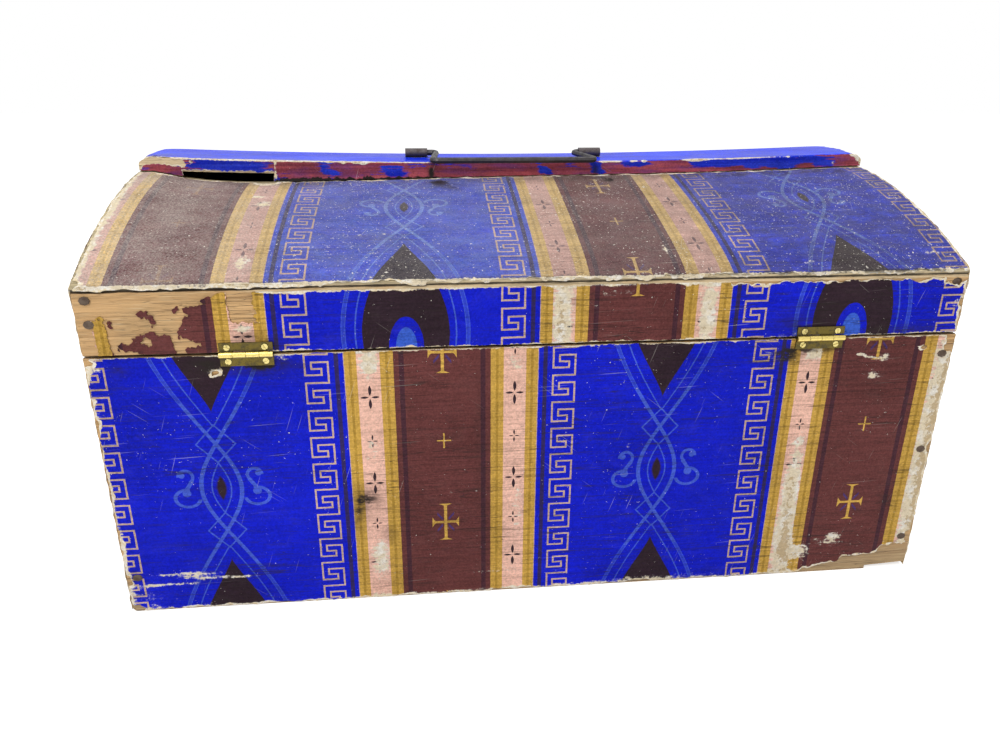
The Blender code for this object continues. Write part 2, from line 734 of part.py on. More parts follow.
def slotted_screw():
    """A countersunk screw with a slot across its head."""
    slot = block(((4 * SCREW_HEAD_RADIUS, SLOT_WIDTH, 2 * SLOT_DEPTH), (0, 0, SCREW_HEAD_RISE)))
    cutter = place_cutter("screw_slot", slot)
    return as_mesh(turned(screw_profile(0.0, SCREW_HEAD_RISE)), lambda holder: cut(holder, cutter))


def build_hinges():
    """Two hinges, each a lid leaf, a body leaf, a pin and four screws."""
    carriers = {"lid": LID, "body": BODY}
    screw_mesh = slotted_screw()
    turns = iter(SCREW_TURNS)
    for hinge, hinge_x in HINGE_XS.items():
        place = (hinge_x, HINGE_AXIS_Y, HINGE_AXIS_Z)
        for side, sign in SCREW_SIDES.items():
            bore = arc((0, 0), PIN_RADIUS + GAP, 0, 2 * math.pi, ROUND_STEPS)[:-1]
            mesh = outline([leaf_outline(sign), bore], HINGE_LENGTH)
            name = "hinge_" + hinge + "_" + side + "_leaf"
            leaf = place_part(name, mesh, BRASS, carriers[side], place, YZ_PLANE)
            cut(leaf, knuckle_windows(hinge_x, sign), SCREW_HOLES[side])
            for number, x in enumerate(SCREW_XS, 1):
                name = "screw_" + hinge + "_" + side + "_" + str(number)
                spin = (math.radians(90), math.radians(next(turns)), 0)
                place_part(name, screw_mesh, BRASS, carriers[side], screw_place(hinge_x, x, sign), spin)
        half = HINGE_LENGTH / 2
        pin_mesh = turned(straight_profile(PIN_RADIUS, half, -half))
        place_part("hinge_" + hinge + "_pin", pin_mesh, BRASS, BODY, place, (0, math.radians(90), 0))


# Handle

def loop_outline(x):
    """A strap loop in YZ: a sleeve round the wire, a doubled tail through the ridge board, clinched ends."""
    tail = math.asin(STRAP / SLEEVE_RADIUS)
    sleeve = arc((0, 0), SLEEVE_RADIUS, tail - math.pi / 2, 1.5 * math.pi - tail, 2 * ROUND_STEPS)
    foot = RIDGE_BOTTOM - ridge_drop(x) - GAP - HANDLE_AXIS_Z
    clinched = [(-STRAP, foot), (-CLINCH, foot), (-CLINCH, foot - STRAP), (CLINCH, foot - STRAP),
                (CLINCH, foot), (STRAP, foot)]
    return sleeve + clinched


def loop_slot(name, x):
    size = (SLEEVE_LENGTH + 2 * GAP, 2 * STRAP + 2 * GAP, RIDGE_THICKNESS + 4 * OVERCUT)
    return place_cutter(name, block((size, (0, 0, 0))), (x, 0, RIDGE_TOP - RIDGE_THICKNESS / 2))


LOOP_SLOTS = [loop_slot("left_slot", LEFT_SLEEVE), loop_slot("right_slot", RIGHT_SLEEVE)]


def build_handle():
    """A hand-bent bail whose turned-out ends lie in two strap loops on the ridge board."""
    left_end = LEFT_SLEEVE - SLEEVE_LENGTH / 2 + STRAP
    right_end = RIGHT_SLEEVE + SLEEVE_LENGTH / 2 - STRAP
    points = [(left_end, 0, 0), (LEFT_NECK, 0, 0), (LEFT_CORNER, -HANDLE_REACH, 0),
              (RIGHT_CORNER, -HANDLE_REACH, 0), (RIGHT_NECK, 0, 0), (right_end, 0, 0)]
    bail = wire(rounded_path(points, WIRE_BEND), WIRE_RADIUS)
    place_part("handle_bail", bail, IRON, HANDLE, (0, 0, HANDLE_AXIS_Z), (HANDLE_TILT, 0, 0))
    bore = arc((0, 0), SLEEVE_BORE, 0, 2 * math.pi, 2 * ROUND_STEPS)[:-1]
    for side, x in (("left", LEFT_SLEEVE), ("right", RIGHT_SLEEVE)):
        mesh = outline([loop_outline(x), bore], SLEEVE_LENGTH)
        place_part("handle_loop_" + side, mesh, IRON, LID, (x, 0, HANDLE_AXIS_Z), YZ_PLANE)


# Hook

def build_hook():
    """A bent-wire hook that hangs from a nail in the body and can swing up over a nail in the lid."""
    bend = HOOK_NAIL_RADIUS + GAP + HOOK_WIRE_RADIUS
    catch = (0, HOOK_CATCH_Z - HOOK_PIVOT_Z)
    eye = arc((0, 0), bend, 2 * math.pi - HOOK_EYE_SWEEP, 2 * math.pi, 2 * ROUND_STEPS)
    mouth = arc(catch, bend, 0, HOOK_MOUTH, ROUND_STEPS)
    points = [(x, 0, z) for x, z in eye + mouth]
    hanging = (0, math.radians(180), 0)
    place_part("closure_hook", wire(points, HOOK_WIRE_RADIUS), IRON, HOOK, (0, HOOK_Y, HOOK_PIVOT_Z), hanging)
    nail = turned(hook_nail_profile())
    place_part("closure_pivot_nail", nail, IRON, BODY, (0, HALF_DEPTH, HOOK_PIVOT_Z), hook_turn)
    place_part("closure_catch_nail", nail, IRON, LID, (0, HALF_DEPTH, HOOK_CATCH_Z), hook_turn)


build_body()
build_lid()
build_paper()
build_hinges()
build_handle()
build_hook()
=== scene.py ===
"""Looks of the dome-top dowry box: torn printed paper, bare pine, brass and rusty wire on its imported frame.

Metres, +Z up. X runs along the length, the hinged back faces -Y and the camera.
"""
import json
import math

import bmesh
import bpy
from mathutils import Matrix, Vector, noise
from mathutils.bvhtree import BVHTree


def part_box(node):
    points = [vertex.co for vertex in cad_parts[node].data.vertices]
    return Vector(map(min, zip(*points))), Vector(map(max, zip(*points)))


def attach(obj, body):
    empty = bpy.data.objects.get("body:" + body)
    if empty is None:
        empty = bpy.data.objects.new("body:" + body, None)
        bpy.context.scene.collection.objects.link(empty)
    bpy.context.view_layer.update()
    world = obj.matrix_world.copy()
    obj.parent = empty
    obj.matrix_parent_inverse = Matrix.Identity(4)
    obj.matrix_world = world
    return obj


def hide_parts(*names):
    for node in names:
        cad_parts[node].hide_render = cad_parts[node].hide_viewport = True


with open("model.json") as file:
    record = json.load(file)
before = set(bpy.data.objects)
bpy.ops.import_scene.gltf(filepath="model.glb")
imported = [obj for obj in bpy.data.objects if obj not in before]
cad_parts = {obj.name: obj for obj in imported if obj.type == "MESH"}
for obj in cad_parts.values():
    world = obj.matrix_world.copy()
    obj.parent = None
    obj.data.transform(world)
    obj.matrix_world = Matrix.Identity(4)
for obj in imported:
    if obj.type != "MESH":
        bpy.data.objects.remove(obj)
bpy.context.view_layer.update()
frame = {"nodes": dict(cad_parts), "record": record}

NODES = frame["nodes"]
MM = 0.001

# The camera, as the corners of the box in the photograph place it
IMAGE_WIDTH = 1000
FOCAL_PIXELS = 790
CAMERA_PLACE = Vector((-0.0839, -0.711, 0.3836))
CAMERA_YAW = math.radians(6.03)
CAMERA_PITCH = math.radians(21.53)
CAMERA_ROLL = math.radians(0.37)

# Faces of the box, read from the frame
BACK_LOW, BACK_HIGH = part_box("body_back_paper")
RAIL_LOW, RAIL_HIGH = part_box("lid_back_paper")
RIDGE_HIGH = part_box("ridge_paper")[1]
END_LOW, END_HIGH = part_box("body_right_paper")
LID_END_LOW, LID_END_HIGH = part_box("lid_right_paper")
HALF_LENGTH = BACK_HIGH[0]
BODY_TOP = BACK_HIGH[2]
RAIL_BOTTOM = RAIL_LOW[2]
RAIL_TOP = RAIL_HIGH[2]
RAIL_JOINT = RAIL_TOP + 1.9 * MM    # where the dome's panel stands on the rail
BACK_FACE = BACK_LOW[1]
FRONT_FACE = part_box("body_front_paper")[1][1]
END_FACE = END_HIGH[0]
RIDGE_HALF = RIDGE_HIGH[1]
BARREL_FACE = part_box("hinge_left_pin")[0][1]
LEAF_FACE = BARREL_FACE + 1.2 * MM    # from here out to the barrels the brass is rubbed, and painted lighter as a highlight

# Paper
PAPER = 0.25 * MM
CURL = 0.7 * MM
CURL_REACH = 4 * MM

# The print: a width and a height that repeat, columns measured from the middle of the dark red stripe
PRINT_WIDTH = 316.5 * MM
PRINT_HEIGHT = 270 * MM
PRINT_WOBBLE = 0.5 * MM
WOBBLES_PER_METRE = 260
RED_LINE = (26.4 * MM, 29.8 * MM)
RED_EDGE = 33.5 * MM
INNER_GOLD_EDGE = 42.6 * MM
PINK_EDGE = 58.4 * MM
OUTER_GOLD_EDGE = 66.9 * MM
PALE_LINE = 0.5 * MM
DARK_LINE = (70.4 * MM, 73.4 * MM)
SPRIG_MIDDLE = 50.5 * MM
KEY_MIDDLE = 85.4 * MM
KEY_WIDTH = 15.6 * MM
KEY_PITCH = PRINT_HEIGHT / 13
KEY_LINE = 1.3 * MM
KEY_START = 5.1 * MM
CROSS_RISE = -37.1 * MM
SPRIG_RISE = -1.6 * MM

# Strapwork of the blue field, from the middle of its eye
STRAP = 3.0 * MM
THIN_STRAP = 1.0 * MM
EYE_HALF = 34.8 * MM
EYE_WIDTH = 13.8 * MM
STRAP_SPREAD = 42 * MM
SMALL_EYE_HALF = 20.1 * MM
SMALL_EYE_WIDTH = 6.6 * MM
THIN_START = 48 * MM
THIN_SPREAD = 34 * MM
KNOT_WIDTH = 13.4 * MM
KNOT_HEIGHT = 14.5 * MM
LOZENGE = (3.6 * MM, 10 * MM)
MEDALLION = (29.5 * MM, 76 * MM)
OVAL_RISE = 145 * MM
OVAL = (11.8 * MM, 22 * MM)
CORE = (7.2 * MM, 14.5 * MM)

# How the print lies on each face: where the red stripe's middle and the eye's middle fall
BODY_RED_X = -70 * MM
BODY_EYE_Z = 101.6 * MM
LID_RED_X = 64.4 * MM
RAIL_EYE_Z = 349 * MM
RAIL_SLOPE = 0.0068
DOME_EYE_RISE = 105.9 * MM
DOME_STRETCH = 1.04


def srgb(red, green, blue):
    """A colour as the eye reads it in a picture, in the linear values that shaders take."""
    linear = []
    for value in (red, green, blue):
        part = value / 255
        linear.append(part / 12.92 if part <= 0.04045 else ((part + 0.055) / 1.055) ** 2.4)
    return (*linear, 1.0)


BLUE = srgb(9, 20, 187)
STRAP_BLUE = srgb(60, 84, 194)
CORE_BLUE = srgb(48, 86, 192)
BROWN = srgb(46, 31, 39)
DARK_BLUE = srgb(46, 36, 88)
KEY_TAN = srgb(190, 160, 142)
GOLD = srgb(190, 150, 66)
GOLD_SHADE = srgb(166, 130, 50)
PINK = srgb(226, 180, 160)
RED = srgb(98, 54, 52)
RED_SHADE = srgb(70, 40, 48)
CROSS_GOLD = srgb(200, 158, 72)
RAY_VIOLET = srgb(76, 54, 104)
CREAM = srgb(218, 200, 164)
PAPER_CORE = srgb(232, 226, 214)
TAN = srgb(190, 166, 128)
DUST = srgb(184, 173, 164)
FADE = srgb(122, 150, 170)
# Dark colour for dirt, and for painted shade in gaps, cracks and under the ridge
SOOT_AND_SHADE = srgb(44, 38, 36)
GRIME = srgb(112, 90, 70)
FADED_BAND = srgb(138, 160, 214)
DULL_PINK = srgb(150, 120, 120)
DULL_GOLD = srgb(208, 182, 136)


# Nodes written as sums

class Ink:
    """A number that varies over a surface. Inks add, multiply and compare like numbers."""

    def __init__(self, tree, socket):
        self.tree = tree
        self.socket = socket

    def math(self, operation, *others, clamp=False):
        node = self.tree.nodes.new("ShaderNodeMath")
        node.operation = operation
        node.use_clamp = clamp
        for socket, value in zip(node.inputs, (self, *others)):
            feed(self.tree, socket, value)
        return Ink(self.tree, node.outputs["Value"])

    def __add__(self, other):
        return self.math("ADD", other)

    def __sub__(self, other):
        return self.math("SUBTRACT", other)

    def __mul__(self, other):
        return self.math("MULTIPLY", other)

    def __truediv__(self, other):
        return self.math("DIVIDE", other)

    def __lt__(self, other):
        return self.math("LESS_THAN", other)

    def __gt__(self, other):
        return self.math("GREATER_THAN", other)

    def __abs__(self):
        return self.math("ABSOLUTE")

    def taken_from(self, whole):
        return self.math("MULTIPLY_ADD", -1.0, whole)

    def flipped(self):
        return self.taken_from(1.0)

    def wrapped(self, pitch):
        """Distance from the nearest of the places that lie a pitch apart, with its sign."""
        return self.math("WRAP", pitch / 2, -pitch / 2)

    def clamped(self):
        return self.math("ADD", 0.0, clamp=True)

    def ramp(self, low, high):
        """Rises from 0 to 1 between two values."""
        return self.math("MULTIPLY_ADD", 1 / (high - low), -low / (high - low), clamp=True)

    def between(self, low, high):
        return (self > low) * (self < high)

    def near(self, place, reach):
        return abs(self - place) < reach

    def choose(self, yes, no):
        """One ink where this one is 1, the other where it is 0."""
        return self * yes + self.flipped() * no


def feed(tree, socket, value):
    if isinstance(value, Ink):
        tree.links.new(value.socket, socket)
    elif isinstance(value, bpy.types.NodeSocket):
        tree.links.new(value, socket)
    else:
        socket.default_value = value


def most(first, *others):
    for other in others:
        first = first.math("MAXIMUM", other)
    return first


def hypot(a, b):
    return (a * a + b * b).math("SQRT")


def paint(tree, under, mask, colour):
    """Lay one colour over another where a mask is 1."""
    node = tree.nodes.new("ShaderNodeMix")
    node.data_type = "RGBA"
    feed(tree, node.inputs["Factor"], mask)
    feed(tree, node.inputs["A"], under)
    feed(tree, node.inputs["B"], colour)
    return node.outputs["Result"]


def shade(tree, colour, amount):
    """Darken or lighten a colour by a factor."""
    node = tree.nodes.new("ShaderNodeVectorMath")
    node.operation = "SCALE"
    feed(tree, node.inputs["Vector"], colour)
    feed(tree, node.inputs["Scale"], amount)
    return node.outputs["Vector"]


def stretched(tree, place, factors):
    node = tree.nodes.new("ShaderNodeVectorMath")
    node.operation = "MULTIPLY"
    feed(tree, node.inputs[0], place)
    node.inputs[1].default_value = factors
    return node.outputs["Vector"]


def shifted(tree, place, offset):
    node = tree.nodes.new("ShaderNodeVectorMath")
    node.operation = "ADD"
    feed(tree, node.inputs[0], place)
    feed(tree, node.inputs[1], offset)
    return node.outputs["Vector"]


def cloud(tree, place, scale, detail=4.0, roughness=0.55):
    """Soft noise from 0 to 1, with about so many lumps to the metre."""
    node = tree.nodes.new("ShaderNodeTexNoise")
    feed(tree, node.inputs["Vector"], place)
    node.inputs["Scale"].default_value = scale
    node.inputs["Detail"].default_value = detail
    node.inputs["Roughness"].default_value = roughness
    return Ink(tree, node.outputs["Fac"])


def streaky_cloud(tree, place, lumps, detail=4.0, roughness=0.55):
    """Noise drawn out into streaks, with about so many lumps to the metre along X, Y and Z."""
    return cloud(tree, stretched(tree, place, lumps), 1.0, detail, roughness)


def bump(tree, height, distance, strength):
    node = tree.nodes.new("ShaderNodeBump")
    node.inputs["Strength"].default_value = strength
    node.inputs["Distance"].default_value = distance
    feed(tree, node.inputs["Height"], height)
    return node.outputs["Normal"]


def split(tree, place):
    node = tree.nodes.new("ShaderNodeSeparateXYZ")
    feed(tree, node.inputs["Vector"], place)
    return [Ink(tree, socket) for socket in node.outputs]


KINDS = {"place": "NodeSocketVector", "colour": "NodeSocketColor", "value": "NodeSocketFloat"}


def new_group(name, inputs, outputs):
    """A shader node group with named sockets. Returns its tree, its inputs and a function that sets its outputs."""
    tree = bpy.data.node_groups.new(name, "ShaderNodeTree")
    for direction, sockets in (("INPUT", inputs), ("OUTPUT", outputs)):
        for socket, kind in sockets:
            tree.interface.new_socket(socket, in_out=direction, socket_type=KINDS[kind])
    entry = tree.nodes.new("NodeGroupInput")
    leave = tree.nodes.new("NodeGroupOutput")
    given = {}
    for socket, kind in inputs:
        given[socket] = Ink(tree, entry.outputs[socket]) if kind == "value" else entry.outputs[socket]

    def put_out(**results):
        for socket, value in results.items():
            feed(tree, leave.inputs[socket], value)

    return tree, given, put_out


def use_group(tree, group, **values):
    node = tree.nodes.new("ShaderNodeGroup")
    node.node_tree = group
    for socket, value in values.items():
        feed(tree, node.inputs[socket], value)
    return node.outputs


# The print of the paper

def greek_key(across, down):
    """One unit of the key: a line that runs down, hooks in on itself and comes out to the next unit."""
    half = KEY_LINE / 2
    inner_left = 4.5 * MM
    inner_right = 11.1 * MM
    upper = 5.7 * MM
    middle = 10.5 * MM
    lower = 15 * MM
    level = (
        (0, 0, KEY_WIDTH), (lower, 0, inner_right), (middle, inner_left, inner_right),
        (upper, inner_left, KEY_WIDTH), (KEY_PITCH, 0, KEY_WIDTH),
    )
    upright = (
        (0, 0, lower), (inner_right, middle, lower), (inner_left, upper, middle), (KEY_WIDTH, upper, KEY_PITCH),
    )
    lines = []
    for rise, left, right in level:
        lines.append(across.near((left + right) / 2, (right - left) / 2 + half) * down.near(rise, half))
    for place, top, bottom in upright:
        lines.append(down.near((top + bottom) / 2, (bottom - top) / 2 + half) * across.near(place, half))
    return most(*lines)


def petal(along, across, start, end, half):
    """A pointed petal between two distances from the middle of a sprig."""
    bulge = (along - (start + end) / 2) / ((end - start) / 2)
    return across < (bulge * bulge).flipped() * half


def sprig(across, rise, length, width):
    """Four dark petals round a point, the upright ones longer."""
    upright = petal(rise, across, 0.13 * length, length, 0.128 * length)
    level = petal(across, rise, 0.13 * width, width, 0.122 * width)
    return most(upright, level)


def flared_cross(across, rise):
    """A gold cross whose arms end in curved bars."""
    reach = 15.5 * MM
    width = 9.9 * MM
    bar_start = 12.3 * MM
    wing_start = 5.6 * MM
    upright = (across < 1.1 * MM) * (rise < reach)
    level = (rise < 0.9 * MM) * (across < width)
    bar = (rise - bar_start) / (reach - bar_start)
    serif = (across < bar * bar * 5.0 * MM) * rise.between(bar_start, reach)
    wing = (across - wing_start) / (width - wing_start)
    flare = (rise < wing * wing * 4.3 * MM) * across.between(wing_start, width)
    return most(upright, level, serif, flare)


def scroll(across, rise):
    """The S-shaped scroll that springs from the side of the eye."""
    loop = hypot((across - 24.2 * MM) / 8.6, (rise + 7.3 * MM) / 6.9)
    loop = loop.near(MM, 0.15 * MM) * most(across > 22 * MM, rise < -8.5 * MM)
    past_stem = across - 24.4 * MM
    over_stem = rise + 0.4 * MM
    along = past_stem * -0.565 + over_stem * 0.825
    beside = abs(past_stem * 0.825 + over_stem * 0.565)
    stem = (beside < 1.35 * MM) * along.between(-1 * MM, 8.6 * MM)
    curl = hypot(across - 23.8 * MM, rise - 9.8 * MM).near(5.0 * MM, 1.1 * MM)
    curl = curl * most(across < 23.8 * MM, rise > 9.8 * MM) * (rise > 6.2 * MM)
    bulb = hypot(across - 26.4 * MM, rise - 11.0 * MM) < 2.2 * MM
    leaf = hypot(past_stem / 3.0, (rise + 3.2 * MM) / 2.9) < MM
    return most(loop, stem, curl, bulb, leaf)


def build_wallpaper():
    """The printed pattern on places in metres: stripes, keys, crosses, sprigs and strapwork."""
    tree, given, put_out = new_group(
        "wallpaper_print", [("Place", "place"), ("Figures", "value")], [("Color", "colour"), ("Pale", "value")])
    wobble = tree.nodes.new("ShaderNodeTexNoise")
    tree.links.new(given["Place"], wobble.inputs["Vector"])
    wobble.inputs["Scale"].default_value = WOBBLES_PER_METRE
    drift = stretched(tree, wobble.outputs["Color"], (PRINT_WOBBLE, PRINT_WOBBLE, 0))
    drift = shifted(tree, drift, (-PRINT_WOBBLE / 2, -PRINT_WOBBLE / 2, 0))
    across, rise, _ = split(tree, shifted(tree, given["Place"], drift))

    signed = across.wrapped(PRINT_WIDTH)
    from_red = abs(signed)
    from_blue = from_red.taken_from(PRINT_WIDTH / 2)
    from_eye = rise.wrapped(PRINT_HEIGHT)
    away = abs(from_eye)

    colour = paint(tree, BLUE, from_red < OUTER_GOLD_EDGE, GOLD)

    # Blue field: medallion, straps, knots, eye and scrolls
    from_medallion = away.taken_from(PRINT_HEIGHT / 2)
    swell = (from_medallion * (math.pi / 2 / MEDALLION[1])).math("COSINE").math("MAXIMUM", 0.0)
    medallion = (from_blue < swell.math("POWER", 1.2) * MEDALLION[0]) * (from_medallion < MEDALLION[1])
    colour = paint(tree, colour, medallion, BROWN)
    oval_rise = (rise - OVAL_RISE).wrapped(PRINT_HEIGHT)
    oval = hypot(from_blue / OVAL[0], oval_rise / OVAL[1]) < 1.0
    colour = paint(tree, colour, oval, BLUE)
    core = hypot(from_blue / CORE[0], oval_rise / CORE[1]) < 1.0
    colour = paint(tree, colour, core, CORE_BLUE)

    past_knot = away - EYE_HALF
    outer = (past_knot * (math.pi / 2 / (PRINT_HEIGHT / 2 - EYE_HALF))).math("SINE") * STRAP_SPREAD
    inner = (past_knot * (math.pi / 2 / EYE_HALF)).math("SINE") * EYE_WIDTH
    strap_line = abs((past_knot > 0.0).choose(outer, inner))
    strap = from_blue.near(strap_line, STRAP / 2)
    strap_core = from_blue.near(strap_line, STRAP / 2 - 0.45 * MM)
    past_start = away - THIN_START
    thin_line = (past_start * (math.pi / 2 / (PRINT_HEIGHT / 2 - THIN_START))).math("SINE") * THIN_SPREAD
    thin = from_blue.near(thin_line, THIN_STRAP / 2) * (past_start > 0.0)
    small_eye = (away * (math.pi / 2 / SMALL_EYE_HALF)).math("COSINE") * SMALL_EYE_WIDTH
    thin_eye = from_blue.near(small_eye, THIN_STRAP / 2) * (away < SMALL_EYE_HALF)
    knot = from_blue / KNOT_WIDTH + abs(past_knot) / KNOT_HEIGHT
    knot = knot.near(1.0, THIN_STRAP / 2 / KNOT_WIDTH * 1.4)
    strapwork = most(strap, thin, thin_eye, knot, scroll(from_blue, from_eye))
    field = from_red > KEY_MIDDLE + KEY_WIDTH
    colour = paint(tree, colour, strapwork * field, STRAP_BLUE)
    deep = strap_core * (away > 1.9 * EYE_HALF) * field
    colour = paint(tree, colour, deep * 0.55, BLUE)
    tall = from_eye / LOZENGE[1]
    lozenge = ((tall * tall).flipped() * LOZENGE[0] - from_blue).ramp(-0.5 * MM, 0.9 * MM)
    colour = paint(tree, colour, lozenge, BROWN)

    # Key bands, the same way round on both sides of the stripes
    side = signed.math("SIGN")
    key_across = signed - side * KEY_MIDDLE + KEY_WIDTH / 2
    key_down = (rise * -1.0 - KEY_START).math("FLOORED_MODULO", KEY_PITCH)
    colour = paint(tree, colour, greek_key(key_across, key_down), KEY_TAN)
    colour = paint(tree, colour, from_red.between(*DARK_LINE), DARK_BLUE)
    colour = paint(tree, colour, from_red.near(OUTER_GOLD_EDGE, PALE_LINE / 2), KEY_TAN)

    # Stripes: gold with a darker line, pink with sprigs, dark red with crosses
    inner_line = from_red.near((RED_EDGE + INNER_GOLD_EDGE) / 2, 0.9 * MM)
    outer_line = from_red.near((PINK_EDGE + OUTER_GOLD_EDGE) / 2, 0.9 * MM)
    colour = paint(tree, colour, most(inner_line, outer_line), GOLD_SHADE)
    pale = from_red.between(INNER_GOLD_EDGE, PINK_EDGE)
    colour = paint(tree, colour, pale, PINK)
    sprig_pitch = PRINT_HEIGHT / 4
    sprig_rise = abs((rise - SPRIG_RISE).wrapped(sprig_pitch))
    beside_sprig = abs(from_red - SPRIG_MIDDLE)
    large_sprig = sprig(beside_sprig, sprig_rise, 9.0 * MM, 6.6 * MM)
    small_sprig = sprig(beside_sprig, sprig_rise.taken_from(sprig_pitch / 2), 5.0 * MM, 3.8 * MM)
    colour = paint(tree, colour, most(large_sprig, small_sprig), BROWN)
    colour = paint(tree, colour, from_red < RED_EDGE, RED)
    colour = paint(tree, colour, from_red.between(*RED_LINE), RED_SHADE)
    cross_pitch = PRINT_HEIGHT / 2
    cross_rise = abs((rise - CROSS_RISE).wrapped(cross_pitch))
    rays = from_red.near(cross_rise * 0.85, 1.0 * MM) * from_red.between(2.2 * MM, 6.2 * MM)
    colour = paint(tree, colour, rays * given["Figures"], RAY_VIOLET)
    small_rise = cross_rise.taken_from(cross_pitch / 2)
    small_cross = most((from_red < 0.55 * MM) * (small_rise < 6 * MM), (small_rise < 0.5 * MM) * (from_red < 5 * MM))
    cross = most(flared_cross(from_red, cross_rise), small_cross)
    colour = paint(tree, colour, cross * given["Figures"], CROSS_GOLD)
    put_out(Color=colour, Pale=pale)
    return tree


def build_grain():
    """Board grain along X: streaks, thin cracks that follow them, and raised fibres."""
    tree, given, put_out = new_group(
        "board_grain", [("Place", "place")], [("Streak", "value"), ("Crack", "value"), ("Fibre", "value")])
    place = given["Place"]
    broad = streaky_cloud(tree, place, (4, 130, 130), 4.0, 0.6)
    fine = streaky_cloud(tree, place, (11, 620, 620), 4.0, 0.65)
    put_out(Streak=broad * 0.45 + fine * 0.55)
    long_line = streaky_cloud(tree, place, (5, 170, 170), 2.0, 0.5)
    short_line = streaky_cloud(tree, place, (16, 330, 330), 2.0, 0.5)
    patch = cloud(tree, place, 13.0, 3.0).ramp(0.3, 0.55)
    hair_line = streaky_cloud(tree, place, (22, 560, 560), 2.0, 0.5)
    hair = abs(hair_line - 0.5).ramp(0.012, 0.0) * 0.5
    put_out(Crack=most(abs(long_line - 0.5).ramp(0.011, 0.0), abs(short_line - 0.43).ramp(0.009, 0.0), hair) * patch)
    put_out(Fibre=streaky_cloud(tree, place, (55, 1300, 1300), 2.0).ramp(0.58, 0.7))
    return tree


# Scratches on a sheet: their angle in degrees, their length and width, and how rare they are
SCRATCHES = [(3, 50 * MM, 1.0 * MM, 0.79), (71, 30 * MM, 0.9 * MM, 0.8), (-38, 36 * MM, 0.8 * MM, 0.82)]


def strokes(tree, place, angle, length, width, rarity):
    """Short straight scratches that lie at an angle on a sheet."""
    node = tree.nodes.new("ShaderNodeMapping")
    node.vector_type = "TEXTURE"
    feed(tree, node.inputs["Vector"], place)
    node.inputs["Rotation"].default_value = (0, 0, math.radians(angle))
    node.inputs["Scale"].default_value = (length, width, 1)
    return cloud(tree, node.outputs["Vector"], 1.0, 0.0).ramp(rarity, rarity + 0.05)


